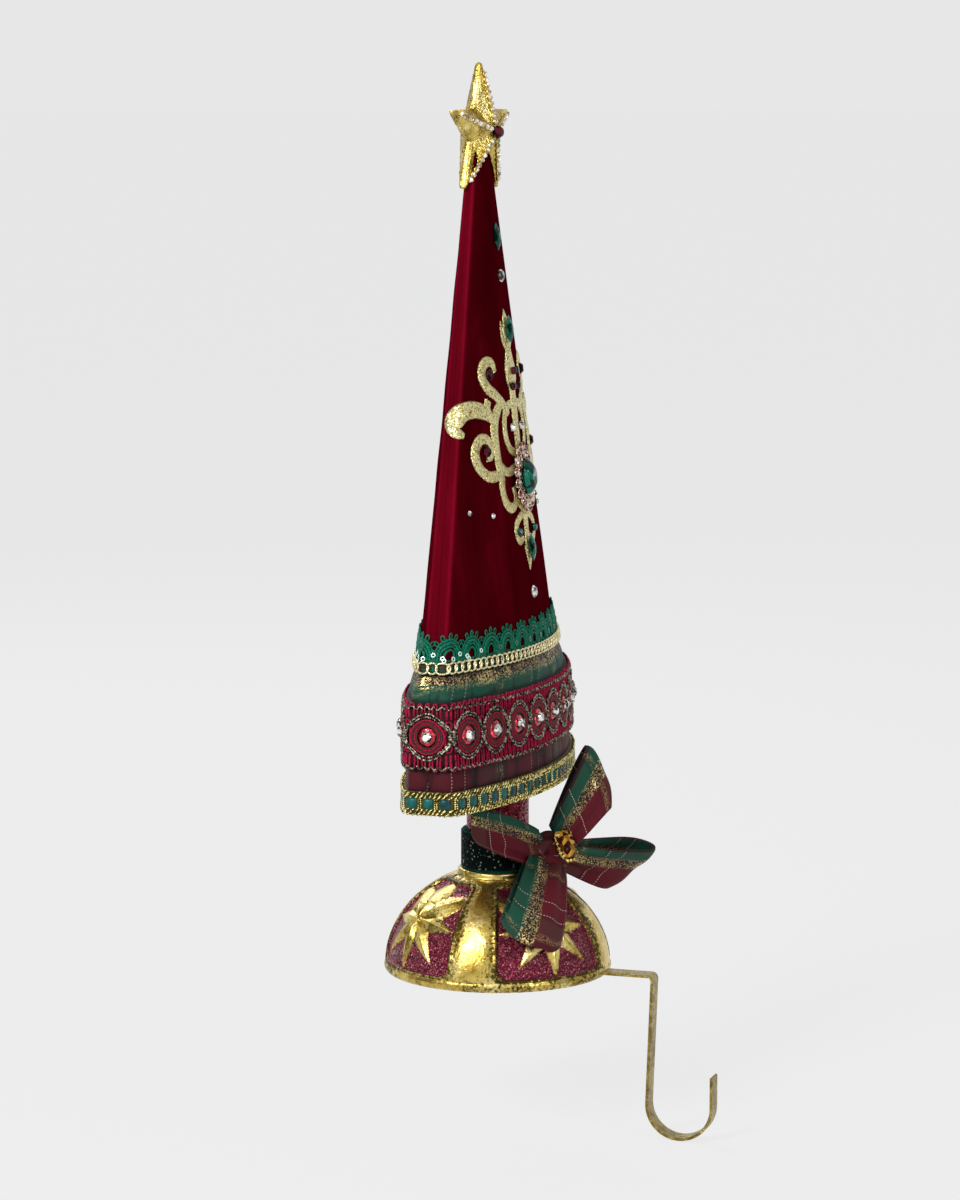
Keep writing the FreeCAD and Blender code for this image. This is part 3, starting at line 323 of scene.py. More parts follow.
# Finishes: each is one node material
class Finish:
    def __init__(self, name, **settings):
        self.material = bpy.data.materials.new(name)
        self.material.use_nodes = True
        self.tree = self.material.node_tree
        self.shader = self.tree.nodes["Principled BSDF"]
        for label, value in settings.items():
            self.shader.inputs[label.replace("_", " ")].default_value = value
        self.coordinates = self.tree.nodes.new("ShaderNodeTexCoord")
        self.shape = None

    def wire(self, source, target):
        self.tree.links.new(source, target)

    def position(self, scale):
        mapping = self.tree.nodes.new("ShaderNodeMapping")
        mapping.inputs["Scale"].default_value = scale
        self.wire(self.coordinates.outputs["Object"], mapping.inputs["Vector"])
        return mapping.outputs[0]

    def noise(self, scale, detail=3.0, rough=0.5, where=None, distort=0.0):
        item = self.tree.nodes.new("ShaderNodeTexNoise")
        item.inputs["Scale"].default_value = scale
        item.inputs["Detail"].default_value = detail
        item.inputs["Roughness"].default_value = rough
        item.inputs["Distortion"].default_value = distort
        self.wire(where or self.coordinates.outputs["Object"], item.inputs["Vector"])
        return item.outputs["Fac"]

    def cells(self, scale, output="Color", where=None):
        item = self.tree.nodes.new("ShaderNodeTexVoronoi")
        item.inputs["Scale"].default_value = scale
        self.wire(where or self.coordinates.outputs["Object"], item.inputs["Vector"])
        return item.outputs[output]

    def math(self, operation, first, second=None, clamp=False):
        item = self.tree.nodes.new("ShaderNodeMath")
        item.operation = operation
        item.use_clamp = clamp
        for socket, value in zip(item.inputs, (first, second)):
            if value is None:
                continue
            if isinstance(value, (int, float)):
                socket.default_value = value
            else:
                self.wire(value, socket)
        return item.outputs[0]

    def ramp(self, value, *stops):
        item = self.tree.nodes.new("ShaderNodeValToRGB")
        while len(item.color_ramp.elements) < len(stops):
            item.color_ramp.elements.new(0.5)
        for element, (place, colour) in zip(item.color_ramp.elements, stops):
            element.position = place
            element.color = (*colour, 1)
        self.wire(value, item.inputs[0])
        return item.outputs["Color"]

    def mapped(self, value, end, low, high):
        item = self.tree.nodes.new("ShaderNodeMapRange")
        item.inputs[end + " Min"].default_value = low
        item.inputs[end + " Max"].default_value = high
        self.wire(value, item.inputs["Value"])
        return item.outputs[0]

    def step(self, value, low, high):
        return self.mapped(value, "From", low, high)

    def range(self, value, low, high):
        return self.mapped(value, "To", low, high)

    def mix(self, share, first, second):
        item = self.tree.nodes.new("ShaderNodeMix")
        item.data_type = "RGBA"
        for socket, value in ((item.inputs[0], share), (item.inputs[6], first), (item.inputs[7], second)):
            if isinstance(value, (int, float)):
                socket.default_value = value
            elif isinstance(value, tuple):
                socket.default_value = (*value, 1)
            else:
                self.wire(value, socket)
        return item.outputs[2]

    def attribute(self, name):
        item = self.tree.nodes.new("ShaderNodeAttribute")
        item.attribute_name = name
        return item.outputs["Fac"]

    def apart(self, vector):
        item = self.tree.nodes.new("ShaderNodeSeparateXYZ")
        self.wire(vector, item.inputs[0])
        return item.outputs

    def colour(self, source):
        self.wire(source, self.shader.inputs["Base Color"])

    def put(self, label, source):
        self.wire(source, self.shader.inputs[label])

    def bump(self, height, strength, distance):
        item = self.tree.nodes.new("ShaderNodeBump")
        item.inputs["Strength"].default_value = strength
        item.inputs["Distance"].default_value = distance * mm
        self.wire(height, item.inputs["Height"])
        if self.shape:
            self.wire(self.shape, item.inputs["Normal"])
        self.shape = item.outputs[0]
        self.wire(self.shape, self.shader.inputs["Normal"])

    def sparkle(self, scale, strength, share=None):
        # every flake leans its own way
        flakes = self.cells(scale)
        lean = self.tree.nodes.new("ShaderNodeVectorMath")
        lean.operation = "SUBTRACT"
        lean.inputs[1].default_value = (0.5, 0.5, 0.5)
        self.wire(flakes, lean.inputs[0])
        grow = self.tree.nodes.new("ShaderNodeVectorMath")
        grow.operation = "SCALE"
        self.wire(lean.outputs[0], grow.inputs[0])
        if share is None:
            grow.inputs["Scale"].default_value = strength
        else:
            self.wire(self.math("MULTIPLY", share, strength), grow.inputs["Scale"])
        geometry = self.tree.nodes.new("ShaderNodeNewGeometry")
        add, unit = self.tree.nodes.new("ShaderNodeVectorMath"), self.tree.nodes.new("ShaderNodeVectorMath")
        add.operation, unit.operation = "ADD", "NORMALIZE"
        self.wire(self.shape or geometry.outputs["Normal"], add.inputs[0])
        self.wire(grow.outputs[0], add.inputs[1])
        self.wire(add.outputs[0], unit.inputs[0])
        self.shape = unit.outputs[0]
        self.wire(self.shape, self.shader.inputs["Normal"])
        return flakes


def goldLeaf(name, wearScale=38.0, wear=0.5, shade=1.0, rubs=None):
    # leaf laid over brown size: bright, rubbed dark in streaks and spots, and more where rubs says
    made = Finish(name, Metallic=1.0, Coat_Weight=0.03, Coat_Roughness=0.2)
    cloud = made.noise(wearScale, 6.0, 0.62, distort=0.6)
    spots = made.noise(wearScale * 20, 3.0, 0.7)
    rubbed = made.math("ADD", made.math("MULTIPLY", cloud, 0.45), made.math("MULTIPLY", spots, 0.55))
    if rubs:
        rubbed = made.math("SUBTRACT", rubbed, made.math("MULTIPLY", made.attribute(rubs), 0.13))
    dark = made.step(rubbed, wear, wear - 0.12)
    tone = made.noise(wearScale * 2.3, 5.0, 0.6)
    stops = ((0.3, (0.33, 0.21, 0.032)), (0.5, (0.66, 0.49, 0.12)), (0.7, (0.95, 0.81, 0.34)))
    bright = made.ramp(tone, *((place, tuple(part * shade for part in level)) for place, level in stops))
    made.colour(made.mix(dark, bright, (0.055, 0.036, 0.006)))
    made.put("Roughness", made.math("ADD", made.range(tone, 0.2, 0.36), made.math("MULTIPLY", dark, 0.25)))
    made.bump(made.noise(wearScale * 14, 4.0, 0.6), 0.6, 0.4)
    made.bump(made.cells(wearScale * 3.2, "Distance"), 0.4, 0.6)
    return made


def glitter(name, dark, bright, scale=1500.0, metallic=0.75, strength=1.1, brightShare=0.35, rough=0.28):
    made = Finish(name, Metallic=metallic, Roughness=rough)
    # the flakes lean their own ways and catch the lamps, and their colour is also painted from dark to bright
    # at random: painted glints besides the real ones
    level = made.apart(made.sparkle(scale, strength))[0]
    middle = tuple((a + b) / 2 for a, b in zip(dark, bright))
    made.colour(made.ramp(level, (0.0, dark), (1.0 - brightShare, middle), (1.0, bright)))
    return made


def metallicCord(name, low, high, scale=1500.0, rough=0.35, brightShare=0.45):
    # foil threads with painted highlights: some turns of the cord are coloured bright as if they caught the
    # light, and the next ones dark
    made = Finish(name, Metallic=0.7, Roughness=rough, Specular_IOR_Level=0.2)
    level = made.apart(made.cells(scale))[1]
    edge = 1.0 - brightShare
    made.colour(made.ramp(level, (edge - 0.25, low), (edge + 0.1, high)))
    made.bump(made.noise(scale * 1.6, 2.0, 0.5), 0.5, 0.2)
    return made


def stoneFinish(name, dark, bright, transmission=0.35, scale=620.0, metal=0.6, darkShare=0.4, gloss=0.35):
    # foil backed, with painted reflections: small cells of the colour are dark or bright, standing in for the
    # facets' reflections of the foil
    made = Finish(name, Roughness=0.05, Transmission_Weight=transmission, IOR=1.5, Metallic=metal,
                  Coat_Weight=gloss * 0.6, Coat_Roughness=0.02, Specular_IOR_Level=gloss)
    level = made.apart(made.cells(scale))[1]
    middle = tuple((a + b) / 2.5 for a, b in zip(dark, bright))
    made.colour(made.ramp(level, (darkShare, dark), (darkShare + 0.2, middle), (darkShare + 0.36, bright)))
    made.sparkle(scale, 0.35)
    return made


def threadFinish(name, low, high, scale=1900.0, sheen=0.1, rough=0.65):
    made = Finish(name, Roughness=rough, Sheen_Weight=sheen, Sheen_Roughness=0.4, Specular_IOR_Level=0.15)
    threads = made.noise(scale, 3.0, 0.6)
    made.colour(made.ramp(threads, (0.3, low), (0.7, high)))
    made.bump(threads, 0.6, 0.3)
    return made


# The tree's plan, as the solids have it
plan = {
    "heights": [89.5, 136.0, 150.0, 380.0],
    "halfWidth": [87.2, 85.2, 78.5, 10.8],
    "halfDepth": [28.8, 28.0, 24.6, 3.7],
    "side": [9.5, 8.0, 5.0, 2.0],
    "offset": 1.75,
    "lean": 0.02,
}


def planAt(height, outward=0.0):
    levels = plan["heights"]
    halfWidth, halfDepth, side = (
        float(np.interp(height, levels, plan[what])) for what in ("halfWidth", "halfDepth", "side"))
    return (halfWidth + outward, halfDepth + outward, side + outward * 0.6,
            plan["offset"] + plan["lean"] * height)


def planLoop(height, outward, count, corner=1.5):
    # the outline at a height, from the left side's middle round the front, with soft corners
    halfWidth, halfDepth, side, centre = planAt(height, outward)
    bulge = halfDepth - side
    radius = (halfWidth ** 2 + bulge ** 2) / (2 * bulge)
    half = math.asin(halfWidth / radius)
    rough = [(-halfWidth, centre - side * share) for share in np.linspace(0, 1, 12)]
    rough += [(radius * math.sin(a), centre - halfDepth + radius - radius * math.cos(a))
              for a in np.linspace(-half, half, 160)[1:]]
    rough += [(halfWidth, centre - side + 2 * side * share) for share in np.linspace(0, 1, 24)[1:]]
    rough += [(-x, 2 * centre - y) for x, y in rough[12:171]]
    rough += [(-halfWidth, centre + side * (1 - share)) for share in np.linspace(0, 1, 12)[1:-1]]
    path = np.array(rough)
    steps = np.linalg.norm(np.roll(path, -1, 0) - path, axis=1)
    lengths = np.concatenate([[0], np.cumsum(steps)])
    path = np.vstack([path, path[:1]])
    wanted = np.linspace(0, lengths[-1], count * 4, endpoint=False)
    fine = np.stack([np.interp(wanted, lengths, path[:, axis]) for axis in (0, 1)], 1)
    spacing = lengths[-1] / len(wanted)
    reach = max(1, int(round(corner / spacing)))
    window = np.hanning(2 * reach + 3)[1:-1]
    window /= window.sum()
    soft = sum(w * np.roll(fine, shift, 0) for w, shift in zip(window, range(-reach, reach + 1)))
    return soft[::4], lengths[-1]


def placesRound(height, outward, pitch):
    # the same places as the solids have: point, outward direction and run
    count = 1440
    loop, length = planLoop(height, outward, count, 0.4)
    above, unused = planLoop(height + 1.0, outward, count, 0.4)
    number = max(4, 2 * round(length / pitch / 2))
    places = []
    for index in range(number):
        here = int(round(index / number * count)) % count
        point = Vector((loop[here][0], loop[here][1], height))
        ahead, behind = loop[(here + 4) % count], loop[(here - 4) % count]
        run = Vector((ahead[0] - behind[0], ahead[1] - behind[1], 0)).normalized()
        rise = Vector((above[here][0] - point.x, above[here][1] - point.y, 1.0))
        places.append((point, run.cross(rise).normalized(), run))
    return places


def frontPlace(across, height, outward=0.0):
    # a place on the front face: point, outward direction and run
    def depth(x, z):
        halfWidth, halfDepth, side, centre = planAt(z, outward)
        bulge = halfDepth - side
        radius = (halfWidth ** 2 + bulge ** 2) / (2 * bulge)
        return centre - halfDepth + radius - math.sqrt(max(0.0, radius ** 2 - x ** 2))

    here = Vector((across, depth(across, height), height))
    beside = Vector((across + 1, depth(across + 1, height), height)) - here
    above = Vector((across, depth(across, height + 1), height + 1)) - here
    return here, beside.cross(above).normalized(), beside.normalized()


def skin(name, heights, outward, count, finish, ripple, corner):
    # a sheet round the tree; uv runs along the outline and up it, in metres
    points, uv, pushes = [], [], []
    for height in heights:
        out = outward(height) if callable(outward) else outward
        loop, length = planLoop(height, out, count, corner(height) if callable(corner) else corner)
        ahead = np.roll(loop, -1, 0) - np.roll(loop, 1, 0)
        normals = np.stack([ahead[:, 1], -ahead[:, 0]], 1)
        normals /= np.linalg.norm(normals, axis=1)[:, None]
        for index in range(count + 1):
            here = index % count
            push = ripple(index / count * length, height, index / count)
            points.append((*(loop[here] + normals[here] * push), height))
            uv.append((index / count * length * mm, height * mm))
            pushes.append(push)
    faces = gridFaces(len(heights), count + 1)
    return welded(meshPiece(name, points, faces, finish, uv=uv, values={"push": pushes}), 1e-7)


# Velvet cover
velvet = {"thickness": 1.0, "low": 149.6, "high": 380.0, "columns": 420, "rows": 92, "pucker": 0.22,
          "heldFrom": 367.0, "heldIn": 0.35, "tipFrom": 377.0, "tipIn": 0.3, "corner": 2.2,
          "flat": (0.36, 0.24)}


def velvetFinish():
    made = Finish("crushedVelvet", Roughness=0.9, Sheen_Weight=0.10, Sheen_Roughness=0.3,
                  Sheen_Tint=(0.8, 0.005, 0.06, 1), Specular_IOR_Level=0.0)
    stretchedDown = made.position((1.0, 1.0, 0.22))
    napAndPaintedSheen = made.noise(55.0, 5.0, 0.6, stretchedDown, 0.4)
    pile = made.noise(2600.0, 2.0, 0.6)
    tone = made.ramp(napAndPaintedSheen, (0.32, (0.045, 0.0004, 0.0016)), (0.55, (0.072, 0.0006, 0.0032)),
                     (0.75, (0.13, 0.001, 0.008)))
    # painted sheen: lighter crimson where the painted sheen attribute says, varied by the nap noise
    paintedSheenShare = made.math("MULTIPLY", made.attribute("napAndPaintedSheen"), made.range(napAndPaintedSheen, 0.5, 1.1), clamp=True)
    tone = made.mix(paintedSheenShare, tone, (0.36, 0.006, 0.028))
    made.colour(made.mix(made.range(pile, 0.0, 0.35), tone, (0.018, 0.0003, 0.002)))
    made.bump(napAndPaintedSheen, 0.35, 1.6)
    made.bump(pile, 0.5, 0.3)
    return made.material


velvetMaterial = velvetFinish()


def velvetPucker(run, height, share):
    low = 1 - min(1.0, (height - velvet["low"]) / 26.0)
    soft = noise.noise(Vector((run * 0.045, height * 0.012, 3.0))) * velvet["pucker"]
    gathers = math.sin(run * 0.62 + 2.5 * noise.noise(Vector((run * 0.03, 1.0, 0.0)))) * 0.28 * low ** 2
    return soft + gathers - 0.12


def roundedTop(height):
    # drawn in a little where the star's socket holds it
    held = min(1.0, max(0.0, (height - velvet["heldFrom"]) / 5.0))
    tip = max(0.0, (height - velvet["tipFrom"]) / 3.0)
    return -velvet["heldIn"] * held - velvet["tipIn"] * tip


velvetHeights = np.linspace(velvet["low"], velvet["high"], velvet["rows"])
velvetCover = skin("velvetCover", velvetHeights, roundedTop, velvet["columns"], velvetMaterial, velvetPucker,
                   velvet["corner"])
work = bmesh.new()
work.from_mesh(velvetCover.data)
topRim = [v for v in work.verts if v.co.z > (velvet["high"] - 0.01) * mm]
topEdges = [e for e in work.edges if e.verts[0] in topRim and e.verts[1] in topRim]
bmesh.ops.contextual_create(work, geom=topEdges)
work.to_mesh(velvetCover.data)
work.free()
solid(velvetCover, velvet["thickness"])


def velvetPaintedSheen(point):
    # painted sheen: a lighter crimson colour on the side strips, and more on the edges between them and the
    # front, standing in for the light they catch
    x, y, z = point / mm
    halfWidth, halfDepth, side, centre = planAt(z, 0.3)
    strip = min(1.0, max(0.0, 1 - (halfWidth - 0.8 - abs(x)) / 0.8))
    edge = math.exp(-(math.hypot(halfWidth - abs(x), max(0.0, side - abs(y - centre))) / 1.35) ** 2)
    return max(0.26 * strip, 0.85 * edge)


# painted sheen, one share per point of the velvet
paintedSheenNumbers = [velvetPaintedSheen(vertex.co) for vertex in velvetCover.data.vertices]
velvetCover.data.attributes.new("napAndPaintedSheen", "FLOAT", "POINT").data.foreach_set("value", paintedSheenNumbers)
finished(velvetCover, "velvet", "velvet_cover")
print("velvet made", len(velvetCover.data.polygons))


# Plaid cloth, used by the skirt and the bow
def plaidFinish(name, size, shift, greens, blacks, shotAxis=1, ground=(0.135, 0.0085, 0.018),
                dotShare=1.0, paintedCreaseShade=False):
    # woven checks on the piece's own uv, in metres: burgundy ground, green and black bands, metal thread
    made = Finish(name, Sheen_Weight=0.04, Sheen_Roughness=0.4, Specular_IOR_Level=0.12)
    made.coordinates = made.tree.nodes.new("ShaderNodeUVMap")
    made.coordinates.uv_map = "cloth"
    uv = made.apart(made.coordinates.outputs["UV"])
    share = []
    for axis in (0, 1):
        moved = made.math("ADD", made.math("DIVIDE", uv[axis], size * mm), shift[axis])
        share.append(made.math("FRACT", moved))

    def band(axis, low, high, soft=0.012):
        rise = made.step(share[axis], low - soft, low + soft)
        fall = made.step(share[axis], high + soft, high - soft)
        return made.math("MULTIPLY", rise, fall)

    green, black = (0.006, 0.085, 0.052), (0.016, 0.012, 0.015)
    colour = ground
    for axis in (0, 1):
        greenShare = made.math("MULTIPLY", band(axis, 0.30, 0.52), greens[axis])
        colour = made.mix(greenShare, colour, green)
        besideGreen = made.math("ADD", band(axis, 0.52, 0.66), band(axis, 0.22, 0.30))
        colour = made.mix(made.math("MULTIPLY", besideGreen, blacks[axis]), colour, black)
    weave = made.tree.nodes.new("ShaderNodeTexWave")
    weave.bands_direction = "DIAGONAL"
    weave.inputs["Scale"].default_value = 950.0
    weave.inputs["Distortion"].default_value = 0.4
    made.wire(made.coordinates.outputs["UV"], weave.inputs["Vector"])
    colour = made.mix(made.range(weave.outputs["Fac"], 0.0, 0.35), colour, (0.0, 0.0, 0.0))
    # lines of pale stitches both ways, and bands shot with gold thread
    dots = []
    for axis, other in ((0, 1), (1, 0)):
        # the lines across are bright, the ones along the ribbon or round the skirt are faint
        beads = made.math("FRACT", made.math("DIVIDE", uv[other], 1.5 * mm))
        fine, second = 0.32 / size, 0.02 + 8.6 / size
        pair = [band(axis, low, low + fine, 0.003) for low in (0.02, second)]
        line = made.math("MAXIMUM", *pair)
        line = made.math("MULTIPLY", line, 1.0 if (axis == 1) == (shotAxis == 0) else 0.35)
        dots.append(made.math("MULTIPLY", line, made.step(beads, 0.56, 0.5)))
    stitches = made.math("MULTIPLY", made.math("MAXIMUM", dots[0], dots[1]), dotShare)
    colour = made.mix(stitches, colour, (0.62, 0.50, 0.42))
    grain = made.apart(made.cells(2300.0, where=made.coordinates.outputs["UV"]))
    patches = made.step(made.noise(60.0, 3.0, 0.6, made.coordinates.outputs["UV"]), 0.40, 0.62)
    sparse = made.math("ADD", 0.80, made.math("MULTIPLY", patches, -0.24))
    flecks = made.math("GREATER_THAN", grain[0], sparse)
    crossing = band(1 - shotAxis, 0.30, 0.66, 0.04)
    shot = band(shotAxis, 0.49, 0.67, 0.02)
    shot = made.math("MULTIPLY", shot, made.math("ADD", 0.6, crossing), clamp=True)
    shot = made.math("MAXIMUM", shot, made.math("MULTIPLY", band(1 - shotAxis, 0.52, 0.60, 0.02), 0.3))
    thread = made.math("MULTIPLY", shot, flecks, clamp=True)
    colour = made.mix(thread, colour, (0.62, 0.48, 0.20))
    if paintedCreaseShade:
        # painted shade: the creases between the folds, and the cloth where it meets the trims, hold a dark
        # line
        creaseShade = made.step(made.attribute("push"), 0.70, 0.42)
        colour = made.mix(made.math("MULTIPLY", creaseShade, 0.75), colour, (0.004, 0.003, 0.004))
    made.colour(colour)
    made.put("Metallic", made.math("MULTIPLY", thread, 0.8))
    made.put("Roughness", made.math("SUBTRACT", 0.6, made.math("MULTIPLY", thread, 0.3)))
    made.bump(weave.outputs["Fac"], 0.3, 0.15)
    return made.material


def softCorner(height):
    # the cloth and the trims turn the tree's edges softly, the velvet more sharply
    return float(np.interp(height, (140.0, 150.0), (4.0, 2.2)))


skirt = {"low": 89.2, "high": 150.3, "rows": 44, "columns": 640, "thickness": 1.0, "gathers": 19,
         "puffs": ((98.0, 108.4, 0.55), (138.4, 150.0, 0.8)), "flat": (0.37, 0.066)}
# the skirt's plaid carries painted shade in its creases
skirtMaterial = plaidFinish("plaidTaffeta", 64.0, (0.86, 0.2375), (0.15, 0.9), (0.7, 0.8),
                            ground=(0.085, 0.0075, 0.014), dotShare=0.7, paintedCreaseShade=True)


def skirtGathers(run, height, share):
    # cloth pulled in at the hem, under the band and under the chain braid, and puffed between
    puff = 0.0
    for low, high, depth in skirt["puffs"]:
        if low < height < high:
            puff = math.sin(math.pi * (height - low) / (high - low)) * depth
    drift = 1.3 * noise.noise(Vector((share * 24, height * 0.03, 0.0)))
    # wide folds with narrow creases between them
    wave = 2 * abs(math.sin(math.pi * skirt["gathers"] * share + 1.6 * drift)) ** 0.55 - 1
    return 0.35 + puff * (0.62 + 0.5 * wave)


skirtHeights = np.linspace(skirt["low"], skirt["high"], skirt["rows"])
plaidSkirt = skin("plaidSkirt", skirtHeights, 0.0, skirt["columns"], skirtMaterial, skirtGathers, softCorner)
solid(plaidSkirt, skirt["thickness"])
finished(plaidSkirt, "plaid", "plaid_skirt")
print("skirt made", len(plaidSkirt.data.polygons))


# Trims: each repeat is laid along a straight line by the geometry nodes, then wrapped round the tree
wrapGrid = {"low": 84, "high": 168, "columns": 1440}


def makeWrapGrid():
    rows = []
    for height in range(wrapGrid["low"], wrapGrid["high"] + 1):
        rows.append(planLoop(height, 0.0, wrapGrid["columns"], softCorner(height))[0])
    grid = np.array(rows)
    ahead = np.roll(grid, -2, 1) - np.roll(grid, 2, 1)
    normals = np.stack([ahead[..., 1], -ahead[..., 0]], 2)
    normals /= np.linalg.norm(normals, axis=2)[..., None]
    return grid, normals


treeGrid, treeNormals = makeWrapGrid()


def wrapRound(obj, height, outward):
    # local x runs round the tree as a share of the outline, y is up from the height, z is out
    count = len(obj.data.vertices)
    flat = np.zeros(count * 3)
    obj.data.vertices.foreach_get("co", flat)
    flat = flat.reshape(-1, 3) / mm
    length = planLoop(height, 0.0, 8)[1]
    column = (flat[:, 0] / length % 1.0) * wrapGrid["columns"]
    row = np.clip(height + flat[:, 1] - wrapGrid["low"], 0, len(treeGrid) - 1.001)
    left, low = column.astype(int), row.astype(int)
    across, up = (column - left)[:, None], (row - low)[:, None]
    left %= wrapGrid["columns"]
    right = (left + 1) % wrapGrid["columns"]

    def between(grid):
        lower = grid[low, left] * (1 - across) + grid[low, right] * across
        upper = grid[low + 1, left] * (1 - across) + grid[low + 1, right] * across
        return lower * (1 - up) + upper * up

    out = (outward + flat[:, 2])[:, None]
    flat[:, 2] = height + flat[:, 1]
    flat[:, :2] = between(treeGrid) + between(treeNormals) * out
    obj.data.vertices.foreach_set("co", (flat * mm).ravel())
    obj.data.update()
    return obj


def wrapped(name, height, outward, spacing, motifObject, finish, shift=0.0, **spread):
    length = planLoop(height, 0.0, 8)[1]
    number = 2 * round(length / spacing / 2)
    places = [(((i + shift) / number * length, 0, 0), (0, 0, 1), (1, 0, 0)) for i in range(number)]
    return wrapRound(placed(name, places, motifObject, finish, **spread), height, outward)


def braidGround(name, node, slotName, low, height, face, finish):
    # the woven ground of a trim, from the cloth under it out to its face
    heights = np.linspace(low, low + height, 9)

    def roundedEdge(run, z, share):
        return -0.35 * max(0.0, 1 - min(z - low, low + height - z) / 0.8) ** 2

    ground = skin(name, heights, face, 640, finish, roundedEdge, softCorner)
    solid(ground, face - 0.1)
    finished(ground, slotName, node)
    # for grounds 10 mm or taller the outline's length is worked out and left unused; a
    # sheet is at least 10 mm wide, and the ground under the chain braid isn't
    if height >= 10:
        planLoop(low, 0.0, 8)[1] * mm


def joinPieces(name, pieces):
    with bpy.context.temp_override(active_object=pieces[0], selected_editable_objects=pieces,
                                   selected_objects=pieces, object=pieces[0]):
        bpy.ops.object.join()
    pieces[0].name = name
    pieces[0].data.name = name
    return pieces[0]


# Hem braid: gold gimp edges, teal satin squares and beaded posts
hem = {"low": 88.2, "height": 10.6, "face": 1.75, "squarePitch": 7.6, "squareWide": 4.6, "squareTall": 5.4,
       "squareRise": 1.15, "edgePitch": 2.1, "edgeIn": 0.75, "innerIn": 2.2}
hemGold = metallicCord("hemGold", (0.08, 0.055, 0.006), (0.92, 0.80, 0.30), 1300.0, brightShare=0.5).material
hemGround = threadFinish("hemGroundThread", (0.02, 0.015, 0.003), (0.15, 0.11, 0.02), 1300.0).material
braidGround("hemGround", "hem_braid", "gold_braid", hem["low"], hem["height"], hem["face"], hemGround)
hemMiddle = hem["low"] + hem["height"] / 2


def gimpMotif(name, length, height, finish):
    # one slanted turn of a wound cord
    turn = [(-length * 0.75, -height * 0.42, 0.1), (-length * 0.3, -height * 0.2, 0.55),
            (length * 0.3, height * 0.2, 0.55), (length * 0.75, height * 0.42, 0.1)]
    return motif(name, [tube(turn, [0.2, 0.38, 0.38, 0.2], 5)], finish)


gimp = gimpMotif("gimpTurn", 1.3, 2.1, hemGold)
hemTop = hem["low"] + hem["height"]
edges = []
for name, height, out, shift, seed in (("hemEdge", hem["low"] + hem["edgeIn"], 0.55, 0.0, 1),
                                       ("hemEdgeHigh", hemTop - hem["edgeIn"], 0.55, 0.0, 2),
                                       ("hemEdgeInner", hem["low"] + hem["innerIn"], 0.25, 0.5, 3),
                                       ("hemEdgeInnerHigh", hemTop - hem["innerIn"], 0.25, 0.5, 4)):
    edges.append(wrapped(name, height, hem["face"] + out, hem["edgePitch"], gimp, hemGold, shift,
                         sizeSpread=0.08, seed=seed))
posts = [ballParts((x, y, 0.55), 0.42, 4, 6) for x in (-0.5, 0.5) for y in (-1.9, -0.95, 0.0, 0.95, 1.9)]
postBeads = motif("postBeads", posts, hemGold)
edges.append(wrapped("hemPosts", hemMiddle, hem["face"] + 0.2, hem["squarePitch"], postBeads, hemGold, 0.5))
finished(joinPieces("hemCords", edges), "gold_braid")


def satinSquare(wide, tall, rise, finish):
    points = []
    rows, columns = 9, 9
    for row in range(rows):
        for column in range(columns):
            u, v = column / (columns - 1) * 2 - 1, row / (rows - 1) * 2 - 1
            x = wide / 2 * u * (1 - 0.10 * v * v)
            y = tall / 2 * v * (1 - 0.08 * u * u)
            crown = max(0.0, (1 - abs(u) ** 3.0) * (1 - abs(v) ** 3.0)) ** 0.5
            points.append((x, y, rise * crown))
    return meshPiece("satinSquare", points, gridFaces(rows, columns), finish)


satinTeal = Finish("tealSatin", Roughness=0.35, Specular_IOR_Level=0.3)
satinCloud = satinTeal.noise(240.0, 3.0)
satinTeal.colour(satinTeal.ramp(satinCloud, (0.35, (0.0, 0.028, 0.034)), (0.65, (0.0, 0.12, 0.105))))
satinTeal.bump(satinTeal.noise(1800.0, 2.0), 0.35, 0.2)
square = satinSquare(hem["squareWide"], hem["squareTall"], hem["squareRise"], satinTeal.material)
hemSquares = wrapped("hemSquares", hemMiddle, hem["face"] + 0.05, hem["squarePitch"], square,
                     satinTeal.material, sizeSpread=0.06)
finished(hemSquares, "teal_stone", "hem_cabochons")
discard(gimp, postBeads, square)
print("hem made")

# Medallion band: crimson loops, olive metallic cord, wound rings, foil and stones
band = {"low": 108.6, "height": 29.6, "face": 1.75, "pitch": 19.8, "loopPitch": 3.5, "loopTall": 7.2,
        "loopOver": 0.2, "ringSeat": 0.1, "stoneSeat": 1.35, "crimsonRings": (7.4, 5.75),
        "brownRings": (6.6, 4.95), "foil": (9.2, 9.6), "stone": (2.5, 2.2)}
bandMiddle = band["low"] + band["height"] / 2
crimson = threadFinish("crimsonCord", (0.07, 0.001, 0.010), (0.52, 0.010, 0.065), 1300.0, 0.03).material
darkRed = threadFinish("bandGroundThread", (0.01, 0.001, 0.002), (0.045, 0.002, 0.008), 1500.0, 0.05).material
oliveCord = metallicCord("oliveCord", (0.022, 0.020, 0.014), (0.42, 0.39, 0.28), 1350.0, 0.42, 0.30).material
brownCord = threadFinish("brownCord", (0.015, 0.006, 0.004), (0.10, 0.04, 0.025), 1500.0, 0.03).material
braidGround("bandGround", "medallion_band", "crimson_trim", band["low"], band["height"], band["face"],
            darkRed)
half = band["loopPitch"] / 2
tall = band["loopTall"]
loopSide = [(-half * 0.55, 0, 0.25), (-half * 0.62, tall * 0.45, 0.5), (-half * 0.6, tall * 0.8, 0.6),
            (-half * 0.3, tall * 0.97, 0.6)]
loopLine = loopSide + [(-x, y, z) for x, y, z in reversed(loopSide)]
loopUp = motif("loopUp", [tube(loopLine, 0.45, 5)], crimson)
loopDown = motif("loopDown", [tube([(x, -y, z) for x, y, z in loopLine], 0.45, 5)], crimson)
loopRows = []
